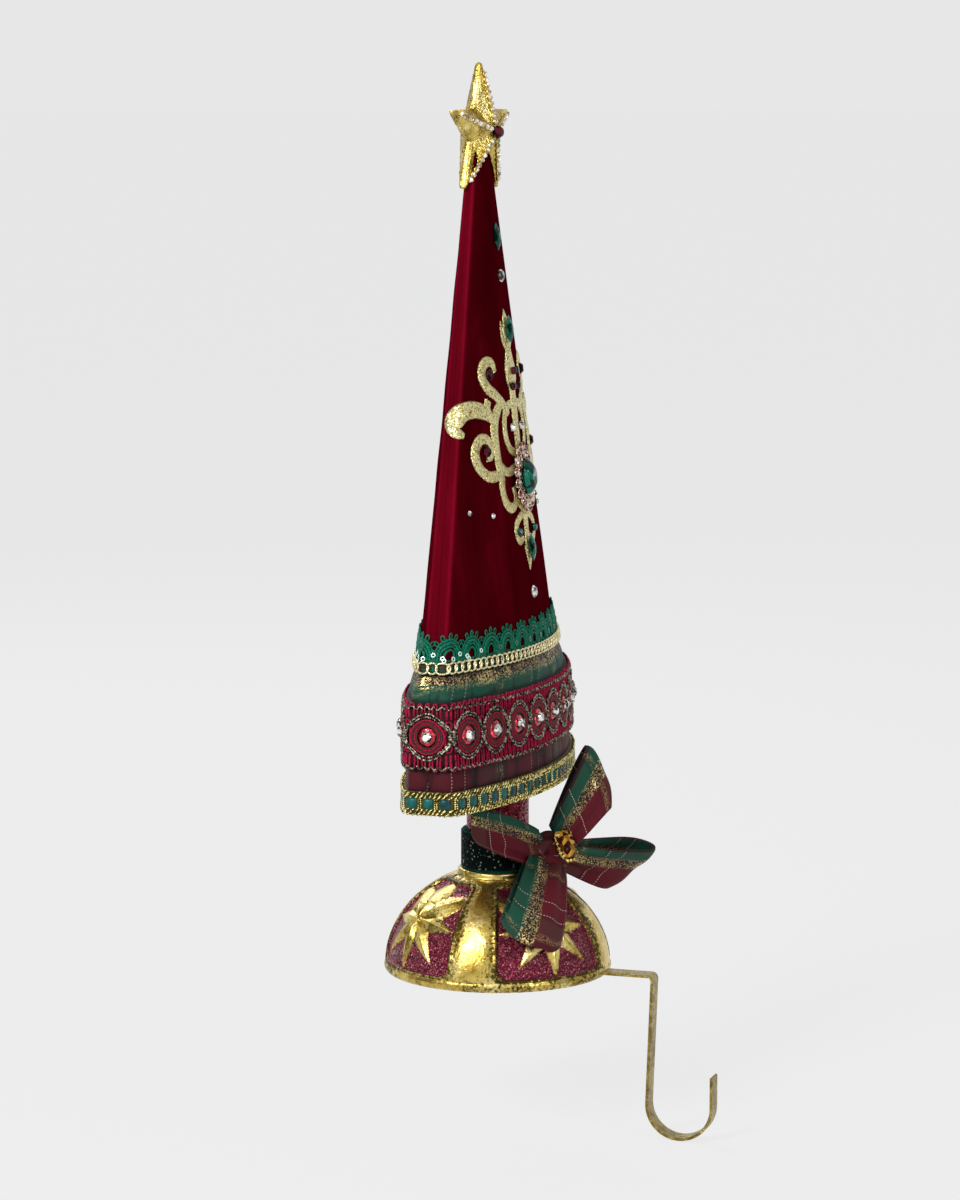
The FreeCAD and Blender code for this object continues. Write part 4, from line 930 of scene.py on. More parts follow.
for name, height, out, item, shift, seed in (
        ("bandLoops", band["low"] + band["height"] - tall + band["loopOver"], 0.0, loopUp, 0.0, 1),
        ("bandLoopsLow", band["low"] + tall - band["loopOver"], 0.0, loopDown, 0.0, 5),
        ("bandLoopsInner", bandMiddle, -0.15, loopUp, 0.5, 6),
        ("bandLoopsInnerLow", bandMiddle, -0.15, loopDown, 0.5, 7)):
    loopRows.append(wrapped(name, height, band["face"] + out, band["loopPitch"], item, crimson, shift,
                            sizeSpread=0.05, seed=seed))
finished(joinPieces("bandLoops", loopRows), "crimson_trim")


def woundRadii(count, radius, share=0.28):
    # a wound cord: every other place along it is thicker
    return [radius * (1 + share * math.cos(math.pi * index)) for index in range(count)]


def lens(wide, tall, count, height):
    # pointed oval: tips left and right
    made = []
    for index in range(count):
        angle = 2 * math.pi * index / count
        x, y = math.cos(angle), math.sin(angle)
        made.append((wide * x, tall * y * (1 - 0.18 * x * x), height))
    return made


def onBand(name, seat, item, finish, slotName, *replaced, **spread):
    # one of its kind on every medallion
    obj = wrapped(name, bandMiddle, band["face"] + seat, band["pitch"], item, finish, **spread)
    return finished(obj, slotName, *replaced)


eye = band["pitch"] / 2
cordParts = [
    tube(lens(eye * 0.98, 10.4, 44, 1.0), woundRadii(44, 0.52), 5, True),
    tube(lens(eye * 0.93, 9.0, 44, 1.0), woundRadii(44, 0.42), 5, True),
]
cluster = [(0, 0), (0.95, 0.5), (-0.95, 0.5), (0.9, -0.6), (-0.9, -0.6), (0, 1.5), (0, -1.5), (0.5, 2.5),
           (-0.5, -2.5)]
cordParts += [ballParts((eye + x, y, 1.55), 0.72, 4, 6) for x, y in cluster]
edgeZig = [(x, 12.9 + 0.75 * math.cos(2 * math.pi * x / 3.3), 0.9) for x in np.linspace(-eye, eye, 31)]
cordParts.append(tube(edgeZig, woundRadii(31, 0.36), 4))
cordParts.append(tube([(x, -y - 0.9, z) for x, y, z in edgeZig], woundRadii(31, 0.42), 4))
cordMotif = motif("cordMotif", cordParts, oliveCord)
onBand("medallionCords", band["ringSeat"], cordMotif, oliveCord, "olive_cord", "medallion_cords")
ringParts = [tube(ringPoints(radius, 36, 1.0, 1.02), 0.42, 5, True) for radius in band["crimsonRings"]]
brownParts = [tube(ringPoints(radius, 36, 1.05, 1.02), 0.44, 5, True) for radius in band["brownRings"]]
crimsonRing = motif("crimsonRing", ringParts, crimson)
brownRing = motif("brownRing", brownParts, brownCord)
onBand("medallionRings", band["ringSeat"], crimsonRing, crimson, "crimson_trim")
onBand("medallionInner", band["ringSeat"], brownRing, brownCord, "olive_cord")
foil = Finish("redFoil", Metallic=0.7, Roughness=0.16, Coat_Weight=0.7, Coat_Roughness=0.05)
foil.colour(foil.ramp(foil.noise(320.0, 2.0), (0.35, (0.30, 0.004, 0.015)), (0.62, (0.72, 0.02, 0.05))))
foil.bump(foil.cells(520.0, "Distance"), 0.9, 0.8)
foilParts = [cutStone(oval(*band["foil"], 16),
                      [(0, 0.96, 0), (0.55, 1.0, 0), (1.25, 0.72, 0), (1.5, 0.4, 0)])]
foilMotif = motif("foilMotif", foilParts, foil.material)
onBand("stoneFoils", 0.15, foilMotif, foil.material, "red_foil", "stone_foils")
clearStone = stoneFinish("clearCrystal", (0.04, 0.037, 0.033), (1.0, 0.99, 0.95), 0.1, 560.0, 0.3,
                         0.26).material
clawMetal = Finish("clawMetal", Metallic=1.0, Roughness=0.2)
clawCloud = clawMetal.noise(800.0, 3.0)
clawMetal.colour(clawMetal.ramp(clawCloud, (0.35, (0.12, 0.11, 0.08)), (0.65, (0.34, 0.31, 0.25))))


def brilliant(radius, rise, sides=8):
    # girdle, crown facets and table
    outline = oval(2 * radius, 2 * radius, sides)
    return cutStone(outline, [(0, 0.9, 0), (rise * 0.3, 1.0, 0), (rise * 0.68, 0.86, 0.5), (rise, 0.56, 1.0)])


stoneMotif = motif("stoneMotif", [brilliant(*band["stone"])], clearStone, smooth=False)
clawLine = ((2.7, -0.2), (2.8, 0.9), (2.1, 1.7))
clawParts = [tube([(reach * math.cos(a), reach * math.sin(a), rise) for reach, rise in clawLine], 0.3, 5)
             for a in (0.8, 2.37, 3.94, 5.5)]
clawMotif = motif("clawMotif", clawParts, clawMetal.material)
onBand("bandStones", band["stoneSeat"], stoneMotif, clearStone, "clear_stone", "band_stones", turnSpread=0.5,
       seed=8)
onBand("bandClaws", band["stoneSeat"], clawMotif, clawMetal.material, "clear_stone", turnSpread=0.4, seed=8)
discard(loopUp, loopDown, cordMotif, crimsonRing, brownRing, foilMotif, stoneMotif, clawMotif)
print("medallion band made")

# Lace: crocheted scallops with picot loops, and ring sequins sewn low on it
lace = {"low": 150.2, "pitch": 14.8, "seat": 0.45, "picots": 9, "archRise": 1.12}
laceGreen = threadFinish("laceThread", (0.0, 0.022, 0.013), (0.0, 0.25, 0.14), 1400.0, 0.04, 0.5).material
archRadius, archBase = lace["pitch"] * 0.5 - 1.9, 7.4
laceParts = []
for more, thick in ((0, 0.75), (-1.3, 0.5), (1.3, 0.5), (-2.7, 0.55)):
    radius = archRadius + more
    arch = [(radius * math.cos(a), archBase + radius * lace["archRise"] * math.sin(a), 0.5)
            for a in np.radians(np.linspace(-28, 208, 17))]
    laceParts.append(tube(arch, thick, 5))
for index in range(lace["picots"]):
    angle = math.radians(-12 + 204 * index / (lace["picots"] - 1))
    direction = Vector((math.cos(angle), math.sin(angle) * lace["archRise"], 0))
    middle = Vector((0, archBase, 0.5)) + direction * (archRadius + 2.5)
    side = Vector((-direction.y, direction.x, 0)).normalized()
    loop = []
    for corner in range(9):
        turn = 2 * math.pi * corner / 9
        loop.append(middle + direction * 1.25 * math.cos(turn) + side * 0.8 * math.sin(turn))
    laceParts.append(tube(loop, 0.36, 4, True))
    spoke = [Vector((0, archBase, 0.4)) + direction * (archRadius - 1.4), middle - direction * 1.2]
    laceParts.append(tube([tuple(p) for p in spoke], 0.42, 4))
across = np.linspace(-lace["pitch"] / 2, lace["pitch"] / 2, 15)
for row, reach in ((0.6, 0.62), (1.9, 0.55), (3.1, 0.5), (4.5, 0.5), (5.7, 0.45)):
    laceParts.append(tube([(x, row + 0.35 * math.sin(x * 2.6), 0.35) for x in across], reach, 4))
for x in (-7.4, -5.9, 5.9, 7.4):
    laceParts.append(tube([(x, 0, 0.4), (x * 0.98, 2.5, 0.45), (x * 0.96, 6.4, 0.45)], 0.5, 4))
laceMotif = motif("laceMotif", laceParts, laceGreen)
laceScallops = wrapped("laceScallops", lace["low"], lace["seat"], lace["pitch"], laceMotif, laceGreen, 0.5)
finished(laceScallops, "green_lace", "lace_trim")
pearl = Finish("pearlSequin", Metallic=0.3, Roughness=0.12, Coat_Weight=0.6, Coat_Roughness=0.04)
# painted glint: most of them show the lace through, and those near the left corner are coloured pale, as if
# they caught the lamp
paintedGlint = pearl.step(pearl.apart(pearl.coordinates.outputs["Object"])[0], -48 * mm, -52 * mm)
pearl.colour(pearl.mix(paintedGlint, (0.01, 0.16, 0.10), (0.72, 0.92, 0.82)))
sequinParts = [tube(ringPoints(0.85, 16, 0.35), 0.36, 5, True, 0.45)]
sequinMotif = motif("sequinMotif", sequinParts, pearl.material)
sequinPlaces = placesRound(lace["low"] + 8.3, 1.5, lace["pitch"])
for point, outward, run in sequinPlaces[:2] + sequinPlaces[-2:]:
    rise = outward.cross(run)
    for x, y in ((5.6, 3.4), (6.6, 6.0), (-5.8, 4.6)):
        sequinPlaces.append((point + run * x * 0.8 - rise * y * 0.4, outward, run))
laceSequins = placed("laceSequins", sequinPlaces, sequinMotif, pearl.material, sizeSpread=0.06)
finished(laceSequins, "sequin", "lace_sequins")

# Chain braid: overlapping eyes of pale gold cord
chain = {"low": 150.4, "height": 5.0, "face": 1.2, "pitch": 4.1}
paleGold = metallicCord("paleGoldCord", (0.30, 0.23, 0.09), (0.90, 0.80, 0.48), 1500.0, 0.32, 0.7).material
eyeRise = chain["height"] / 2 - 0.1
eyeLine = [(x * 2.5, y * eyeRise, 0.7 + 0.25 * x) for x, y, unused in ringPoints(1.0, 14)]
chainMotif = motif("chainMotif", [tube(eyeLine, woundRadii(14, 0.46, 0.2), 5, True)], paleGold)
chainBraid = wrapped("chainBraid", chain["low"] + chain["height"] / 2, chain["face"] + 0.3, chain["pitch"],
                     chainMotif, paleGold)
finished(chainBraid, "pale_gold_braid")
chainThread = threadFinish("chainGroundThread", (0.006, 0.012, 0.008), (0.05, 0.045, 0.02), 1300.0).material
braidGround("chainGround", "chain_braid", "pale_gold_braid", chain["low"] + 0.3, chain["height"] - 0.6,
            chain["face"], chainThread)
discard(laceMotif, sequinMotif, chainMotif)
print("lace and chain made")

# Scrollwork: every stroke is swept by the geometry nodes, then laid on the front
scroll = {"height": 247.0, "seat": 0.15, "rise": 1.5, "step": 0.9, "flatness": 0.34, "sides": 12}
# strokes of the left half and of the middle: places, and the width at each
scrollStrokes = [
    ([(-0.5, 42), (-5, 48), (-5.5, 56)], [4, 4, 1.2]),
    ([(-8, 14), (-13, 19), (-19, 23), (-26, 28), (-27.5, 34), (-24, 38), (-19, 37.5), (-17, 33.5)],
     [4, 5, 5.5, 6, 6, 5.5, 4.5, 3]),
    ([(-20, 10.5), (-26, 14), (-33, 17), (-40.5, 17.5), (-46.5, 15), (-49.5, 9.5), (-45, 6.5)],
     [4, 6, 8, 8.5, 9, 8, 3]),
    ([(-24, 12), (-27, 18), (-25.5, 21)], [4, 5, 4.5]),
    ([(-13, 20), (-19, 16), (-23, 9.5), (-23.6, 1), (-23, -8), (-21.5, -16)], [4, 6, 6.5, 6, 6, 5.5]),
    ([(-22, -12), (-28, -13.2), (-34, -12), (-39.8, -4.5), (-36.5, 3), (-31, 4), (-27.5, 0.5), (-28.5, -4),
      (-32, -4.5)], [5, 5.5, 5.5, 6, 5.5, 5, 4, 3.5, 3.5]),
    ([(-2, 18), (-9, 17), (-13.5, 9), (-11, -1), (-3, -5)], [4, 4.5, 4.5, 4.5, 4]),
    ([(-23, -8), (-16, -12), (-6, -11)], [5, 4.5, 5]),
    ([(-22, -15), (-22, -21), (-19.5, -26.5), (-14, -28.5), (-9.5, -25), (-11, -19)],
     [5.5, 5, 5.5, 5, 4.5, 3.5]),
    ([(-9.5, -25), (-5, -28), (-1, -30)], [4, 4, 4]),
    ([(-2, -32), (-8, -34), (-12.5, -38), (-10.5, -44), (-5, -43.5)], [4, 4, 4.5, 4, 3]),
]
middleStrokes = [
    ([(0, 61), (0, 57), (0, 52), (0, 43), (0, 33)], [0.8, 6, 9.5, 7, 14]),
    ([(0, 34), (0, 29), (0, 24), (0, 18), (0, -20), (0, -40)], [14, 13, 8, 8, 6, 6]),
    ([(0, -38), (0, -43), (0, -48), (0, -54), (0, -58.5)], [5, 7, 9.5, 5.5, 0.8]),
]
goldGlitter = glitter("goldGlitter", (0.30, 0.22, 0.035), (1.0, 0.93, 0.50), 1700.0, 0.8, 0.8, 0.55,
                      0.3).material


def sweepingTree():
    tree, make, wire = geometryTree("sweepStroke", {
        "Finish": "Material", "Step": "Float", "Height Share": "Float", "Sides": "Int"})
    start = make("NodeGroupInput")
    evenly, upright = make("GeometryNodeResampleCurve"), make("GeometryNodeSetCurveNormal")
    evenly.mode = "LENGTH"
    upright.mode = "Z_UP"
    wire(start.outputs["Geometry"], evenly.inputs["Curve"])
    wire(start.outputs["Step"], evenly.inputs["Length"])
    wire(evenly.outputs["Curve"], upright.inputs["Curve"])
    profile, flatten = make("GeometryNodeCurvePrimitiveCircle"), make("GeometryNodeTransform")
    profile.inputs["Radius"].default_value = 1.0
    wire(start.outputs["Sides"], profile.inputs["Resolution"])
    size = make("ShaderNodeCombineXYZ")
    size.inputs[0].default_value = 1.0
    size.inputs[2].default_value = 1.0
    wire(start.outputs["Height Share"], size.inputs[1])
    wire(profile.outputs["Curve"], flatten.inputs["Geometry"])
    wire(size.outputs[0], flatten.inputs["Scale"])
    sweep = make("GeometryNodeCurveToMesh")
    wire(upright.outputs["Curve"], sweep.inputs["Curve"])
    wire(flatten.outputs["Geometry"], sweep.inputs["Profile Curve"])
    wire(make("GeometryNodeInputRadius").outputs["Radius"], sweep.inputs["Scale"])
    sweep.inputs["Fill Caps"].default_value = True
    paintedEnd(make, wire, start, sweep.outputs["Mesh"])
    return tree


sweeping = sweepingTree()


def strokeCurve(name, strokes):
    data = bpy.data.curves.new(name, "CURVE")
    data.dimensions = "3D"
    for points, widths in strokes:
        spline = data.splines.new("BEZIER")
        spline.bezier_points.add(len(points) - 1)
        spline.resolution_u = 10
        for knot, (x, y), width in zip(spline.bezier_points, points, widths):
            knot.co = (x * mm, y * mm, 0)
            knot.handle_left_type = knot.handle_right_type = "AUTO"
            knot.radius = width / 2 * mm
    return link(bpy.data.objects.new(name, data))


def swept(name, strokes, finish):
    curve = strokeCurve(name + "Path", strokes)
    modifier = curve.modifiers.new("sweep", "NODES")
    modifier.node_group = sweeping
    setInputs(modifier, {"Finish": finish, "Step": scroll["step"] * mm, "Height Share": scroll["flatness"],
                         "Sides": scroll["sides"]})
    graph = bpy.context.evaluated_depsgraph_get()
    mesh = bpy.data.meshes.new_from_object(curve.evaluated_get(graph))
    obj = link(bpy.data.objects.new(name, mesh))
    discard(curve)
    return obj


def layOnFront(obj, height, outward, rise):
    for vertex in obj.data.vertices:
        x, y, out = vertex.co / mm
        lift = outward + rise * math.tanh(max(out, -0.05) / rise)
        past = max(0.0, abs(x) - planAt(height + y)[0])
        point, normal, beside = frontPlace(math.copysign(abs(x) - past, x), height + y)
        # what reaches past the tree's edge turns round it
        turned = math.tanh(past / 3.0)
        sideways = Vector((math.copysign(1.0, x), 0, 0))
        normal = (normal * (1 - turned) + sideways * turned).normalized()
        vertex.co = (point + normal * lift + Vector((0, 1, 0)) * past * 0.9 + sideways * past * 0.12) * mm
    obj.data.update()
    return obj


mirrored = [([(-x, y) for x, y in points], widths) for points, widths in scrollStrokes]
scrollwork = swept("scrollwork", scrollStrokes + mirrored + middleStrokes, goldGlitter)
layOnFront(scrollwork, scroll["height"], scroll["seat"], scroll["rise"])
turnOutwards(scrollwork)
scrollwork.data.materials.clear()
scrollwork.data.materials.append(goldGlitter)
finished(scrollwork, "gold_glitter", "scroll_applique")

# Filigree: small wire loops with crystals set between them, round the oval gem
filigree = {"place": 231.5, "loops": 16, "wide": 9.8, "tall": 12.8, "seat": 1.7}
roseGold = Finish("roseGold", Metallic=1.0, Roughness=0.24)
roseCloud = roseGold.noise(900.0, 3.0)
roseGold.colour(roseGold.ramp(roseCloud, (0.35, (0.66, 0.40, 0.28)), (0.65, (0.95, 0.66, 0.50))))
roseGold.bump(roseGold.noise(1400.0), 0.3, 0.15)


def wireRing(centre, radius, count, height, thick):
    ring = [(centre[0] + x, centre[1] + y, height) for x, y, z in ringPoints(radius, count)]
    return tube(ring, thick, 5, True)


filigreeParts = [tube([(filigree["wide"] * 0.72 * math.cos(a), filigree["tall"] * 0.76 * math.sin(a), 0.5)
                       for a in np.linspace(0, 2 * math.pi, 40, endpoint=False)], 0.5, 5, True)]
crystalPlaces = []
for index in range(filigree["loops"]):
    angle = 2 * math.pi * (index + 0.5) / filigree["loops"]
    middle = (filigree["wide"] * math.cos(angle), filigree["tall"] * math.sin(angle))
    outer = (middle[0] * 1.22, middle[1] * 1.2)
    inner = (middle[0] * 0.78, middle[1] * 0.76)
    filigreeParts += [wireRing(middle, 1.9, 16, 0.55, 0.42), ballParts((outer[0], outer[1], 0.6), 0.8, 5, 8),
                      wireRing(inner, 1.3, 12, 0.75, 0.4)]
    crystalPlaces += [middle, inner, outer]
filigreeWork = motif("filigreeWork", filigreeParts, roseGold.material)
layOnFront(filigreeWork, filigree["place"], filigree["seat"], 1.4)
finished(filigreeWork, "rose_gold", "filigree_cluster")
blushStone = stoneFinish("blushCrystal", (0.16, 0.07, 0.05), (1.0, 0.86, 0.76)).material
tinyStone = motif("tinyStone", [brilliant(1.15, 1.1, 6)], blushStone, smooth=False)
crystalSpots = [frontPlace(x, filigree["place"] + y, filigree["seat"] + 0.45) for x, y in crystalPlaces]
filigreeCrystals = placed("filigreeCrystals", crystalSpots, tinyStone, blushStone, turnSpread=3.0, seed=9)
finished(filigreeCrystals, "clear_stone")
discard(tinyStone)

# Gems of the front: the stones' outlines, and how far their backs sit off the velvet
gems = {"oval": (12.5, 17.0), "marquise": (6.6, 13.0), "big": (5.4, 5.4), "small": (4.0, 4.0),
        "long": (5.0, 6.25), "speck": (2.8, 2.8), "onVelvet": 0.15, "onScroll": 0.3, "onStem": 1.6,
        "onFiligree": 2.65}
emeraldStone = stoneFinish("emeraldStone", (0.0, 0.014, 0.010), (0.004, 0.14, 0.09), 0.0, 330.0, 0.2,
                           gloss=0.2).material
garnetStone = stoneFinish("garnetStone", (0.008, 0.001, 0.002), (0.09, 0.012, 0.02), 0.0, 420.0, 0.0,
                          gloss=0.05).material
amberStone = stoneFinish("amberStone", (0.030, 0.002, 0.001), (0.72, 0.36, 0.04), 0.0, 380.0, 0.2, 0.55,
                         0.05).material


def facetedMotif(name, outline, levels, finish):
    return motif(name, [cutStone(outline, levels)], finish, smooth=False)


def frontGem(name, outline, levels, finish, spots, slotName, node):
    gem = facetedMotif(name + "Motif", outline, levels, finish)
    obj = placed(name, spots, gem, finish)
    discard(gem)
    return finished(obj, slotName, node)


def marquise(width, length):
    # pointed oval: tips above and below
    points, sides = [], 12
    for index in range(sides):
        angle = 2 * math.pi * index / sides
        x, y = math.cos(angle), math.sin(angle)
        points.append((width / 2 * x * abs(x) ** 0.35 if x else 0.0, length / 2 * y))
    return points


ovalCut = [(0, 0.86, 0), (1.3, 1.0, 0), (2.7, 0.86, 0.5), (3.9, 0.66, 1.0), (4.6, 0.46, 1.5)]
frontGem("emeraldOval", oval(*gems["oval"], 18), ovalCut, emeraldStone,
         [frontPlace(0, filigree["place"], gems["onFiligree"])], "emerald", "emerald_oval")
leafCut = [(0, 0.86, 0), (0.7, 1.0, 0), (1.5, 0.72, 0.5), (2.2, 0.34, 1.0)]
for name, node, height, seat in (("marquiseTop", "marquise_top", 341.0, "onVelvet"),
                                 ("marquiseUpper", "marquise_upper", 299.0, "onStem"),
                                 ("marquiseLower", "marquise_lower", 199.0, "onStem")):
    frontGem(name, marquise(*gems["marquise"]), leafCut, emeraldStone, [frontPlace(0, height, gems[seat])],
             "emerald", node)


def gemSpots(pairs, seat):
    return [frontPlace(x, scroll["height"] + y, gems[seat]) for x, y in pairs]


def bothSides(x, y):
    return [(-x, y), (x, y)]


bigStone = [(0, 0.86, 0), (0.6, 1.0, 0), (1.4, 0.84, 0.5), (2.0, 0.55, 1.0)]
speckCut = [(0, 0.9, 0), (0.4, 1, 0), (1.0, 0.55, 1.0)]
bigGem = facetedMotif("bigGem", oval(*gems["big"], 8), bigStone, garnetStone)
smallGem = facetedMotif("smallGem", oval(*gems["small"], 8), bigStone, garnetStone)
longStone = facetedMotif("longStone", oval(*gems["long"], 8), bigStone, clearStone)
speckStone = facetedMotif("speckStone", oval(*gems["speck"], 8), speckCut, clearStone)
garnetSpots = gemSpots(bothSides(23, 32.5) + bothSides(32, -1.5), "onScroll")
garnets = placed("garnets", garnetSpots, bigGem, garnetStone)
crown = placed("garnetCrown", gemSpots([(0, 33)] + bothSides(3.6, 26), "onStem"), smallGem, garnetStone)
finished(joinPieces("garnetGems", [garnets, crown]), "garnet", "garnet_gems")
greens = placed("greenGems", gemSpots(bothSides(11, -40), "onScroll"), smallGem, emeraldStone)
finished(greens, "emerald", "green_gems")
clears = placed("clearGems", gemSpots(bothSides(6.4, 7.5), "onScroll"), smallGem, clearStone)
finished(clears, "clear_stone", "clear_gems")
longs = placed("longCrystals", gemSpots([(0, 76.3), (0, -68.5)], "onVelvet"), longStone, clearStone)
speckSpots = gemSpots(bothSides(33, -30.4) + bothSides(49, -28), "onVelvet")
specks = placed("speckCrystals", speckSpots, speckStone, clearStone)
finished(joinPieces("velvetCrystals", [longs, specks]), "clear_stone", "velvet_crystals")
discard(bigGem, smallGem, longStone, speckStone)
print("scrollwork and gems made")

# Star: a rounded body, a row of cupped stones on each ridge, and a gem
star = {"radius": 31.4, "height": 388.5, "thickness": 17.6, "edge": 2.4, "turn": 6.0, "tipHeight": 380.0,
        "stone": 1.15, "pitch": 2.75, "gem": 3.3, "voxel": 0.45, "rounds": 8, "uneven": 0.28,
        "puff": 0.55, "clear": 0.1}
starGold = goldLeaf("starLeaf", 60.0, 0.49)


def softenedStar():
    # the cast star's tips and ridges are rounded and its faces slightly uneven
    shape = welded(link(bpy.data.objects.new("starBody", nodes["star_topper"].data.copy())), 1e-6)
    remesh = shape.modifiers.new("even", "REMESH")
    remesh.mode = "VOXEL"
    remesh.voxel_size = star["voxel"] * mm
    rounding = shape.modifiers.new("rounded", "SMOOTH")
    rounding.factor = 0.5
    rounding.iterations = star["rounds"]
    applied(shape)
    for vertex in shape.data.vertices:
        uneven = noise.noise(vertex.co / (5.0 * mm)) + 0.5 * noise.noise(vertex.co / (2.2 * mm))
        vertex.co += vertex.normal * (star["puff"] + star["uneven"] * uneven) * mm
    shape.data.materials.clear()
    shape.data.materials.append(starGold.material)
    shape.data.shade_smooth()
    return finished(shape, "gold_leaf", "star_topper")


starBody = softenedStar()
print("star body rounded", len(starBody.data.polygons))
turn = math.radians(star["turn"])
starNormal = Vector((-math.sin(turn), -math.cos(turn), 0))
starRun = Vector((0, 0, 1)).cross(starNormal)
starMiddle = Vector((0, plan["offset"] + plan["lean"] * star["tipHeight"], star["height"]))
starMatrix = Matrix((starRun, Vector((0, 0, 1)), starNormal)).transposed()
starSpots = []
peak = Vector((0, 0, star["thickness"] / 2))
startReach = star["gem"] + star["stone"] + 0.4
count = int((star["radius"] - startReach - star["stone"]) / star["pitch"])
for index in range(5):
    angle = math.radians(90 + 72 * index)
    tip = Vector((star["radius"] * math.cos(angle), star["radius"] * math.sin(angle), star["edge"] / 2))
    ridge = tip - peak
    outward = Vector((0, 0, 1)) - ridge * (ridge.z / ridge.length ** 2)
    outward.normalize()
    for step in range(count):
        place = peak + ridge * ((startReach + star["pitch"] * step) / ridge.length) + outward * star["clear"]
        spot = starMiddle + starMatrix @ place
        # the lowest stones stay in front of the velvet
        if spot.z < star["tipHeight"] and abs(spot.x) < planAt(spot.z)[0]:
            spot.y = min(spot.y, frontPlace(spot.x, spot.z)[0].y - star["clear"])
        starSpots.append((spot, starMatrix @ outward, (starMatrix @ ridge).normalized()))
champagne = stoneFinish("champagneCrystal", (0.30, 0.22, 0.10), (1.0, 0.95, 0.80), 0.0, 700.0, 0.2,
                        0.3).material
chainStone = motif("chainStone", [brilliant(1.32, 1.6, 8)], champagne, smooth=False)
cupParts = [tube(ringPoints(1.25, 14, 0.35), 0.42, 5, True)]
cupParts += [ballParts((1.38 * math.cos(a), 1.38 * math.sin(a), 0.45), 0.36, 3, 5) for a in (0.0, math.pi)]
cupMotif = motif("cupMotif", cupParts, starGold.material)
starStones = placed("starStones", starSpots, chainStone, champagne, turnSpread=0.4, seed=11)
finished(starStones, "clear_stone", "star_chain")
finished(placed("starCups", starSpots, cupMotif, starGold.material), "gold_leaf")
discard(chainStone, cupMotif)
gemSpot = starMiddle + starNormal * (star["thickness"] / 2 + star["clear"])
frontGem("starGem", oval(6.6, 6.6, 8), [(0, 0.86, 0), (0.9, 1.0, 0), (2.0, 0.84, 0.5), (3.0, 0.55, 1.0)],
         garnetStone, [(gemSpot, starNormal, starRun)], "garnet", "star_gem")
print("star made")

# Base: gilded dome with sunk glitter panels and raised stars
dome = {"radius": 52.2, "rise": 45.6, "rim": 2.8, "baseRadius": 53.0, "wall": 3.2, "lip": 18.6, "top": 48.7,
        "bore": 14.7, "panelAngle": 32.0, "panelTurn": 4.5, "panelLow": 6.0, "panelHigh": 43.5,
        "panelDepth": 1.2, "corner": 4.5, "frame": 0.45, "bandBulge": 0.45, "starHeight": 28.6,
        "starRise": 2.6, "starWaist": 10.5, "points": [26.5, 32.0, 27.0, 32.0, 26.5, 29.5, 30.0, 29.5],
        "columns": 624, "rows": 128}


def eased(share):
    share = min(1.0, share)
    return share * share * (3 - 2 * share)


def domeInset(azimuth, height, reach, arcUp):
    # how far a point is pushed in, how much of it is leaf rather than glitter, and how rubbed the leaf is
    first = math.pi / 4 + math.radians(dome["panelTurn"])
    nearest = round((azimuth - first) / (math.pi / 2)) * (math.pi / 2) + first
    away = azimuth - nearest
    sideways = (math.radians(dome["panelAngle"]) - abs(away)) * reach
    low, high = arcUp - dome["arcLow"], dome["arcHigh"] - arcUp
    upright = min(low, high)
    corner = dome["corner"]
    if sideways < corner and upright < corner:
        inside = corner - math.hypot(corner - sideways, corner - upright)
    else:
        inside = min(sideways, upright)
    inset = dome["panelDepth"] * eased(max(0.0, (inside + 0.15) / 0.8))
    inset -= dome["frame"] * math.exp(-((inside + 0.75) / 0.6) ** 2)
    if inside < 0 and abs(away) > math.radians(20):
        inset -= dome["bandBulge"] * eased(-inside / 6.0)
    rub = math.exp(-((inside + 1.0) / 3.6) ** 2)
    if inside < 0.2:
        return inset, 1.0, rub
    centreReach = dome["radius"] * math.sqrt(1 - ((dome["starHeight"] - dome["rim"]) / dome["rise"]) ** 2)
    centre = Vector((centreReach * math.cos(nearest), centreReach * math.sin(nearest), dome["starHeight"]))
    outward = Vector((centre.x, centre.y, (centre.z - dome["rim"]) * 1.3)).normalized()
    across = Vector((-math.sin(nearest), math.cos(nearest), 0))
    upward = outward.cross(across)
    ray = Vector((reach * math.cos(azimuth), reach * math.sin(azimuth), height - dome["rim"]))
    origin = Vector((0, 0, dome["rim"]))
    facingRay = ray.dot(outward)
    if facingRay <= 0:
        return inset, 0.0, rub
    flat = origin + ray * ((centre - origin).dot(outward) / facingRay) - centre
    u, v = flat.dot(across), flat.dot(upward)
    turn = math.atan2(v, u) / (math.pi / 4)
    relief, valleyRub = -1.0, 0.0
    for index in {math.floor(turn) % 8, math.ceil(turn) % 8}:
        angle = math.pi / 4 * index
        along = u * math.cos(angle) + v * math.sin(angle)
        beside = abs(-u * math.sin(angle) + v * math.cos(angle))
        length = dome["points"][index]
        valley = dome["starWaist"] * math.cos(math.pi / 8)
        widest = dome["starWaist"] * math.sin(math.pi / 8)
        upRay = max(0.0, math.sin(angle))
        if 0 <= along < length:
            taper = max(0.0, (length - along) / (length - valley)) ** (1.0 - 0.5 * upRay)
            half = along * math.tan(math.pi / 8) if along < valley else widest * (taper * (1.2 + 1.3 * upRay))
            if beside < half:
                crest = 0.35 + (dome["starRise"] - 0.35) * (1 - along / length)
                relief = max(relief, crest * (1 - beside / half) ** 0.9 + 0.12)
                valleyRub = max(valleyRub, (beside / half) ** 4)
    if relief < 0:
        return inset, 0.0, rub
    return inset - relief, 1.0, max(rub, valleyRub * 0.8)


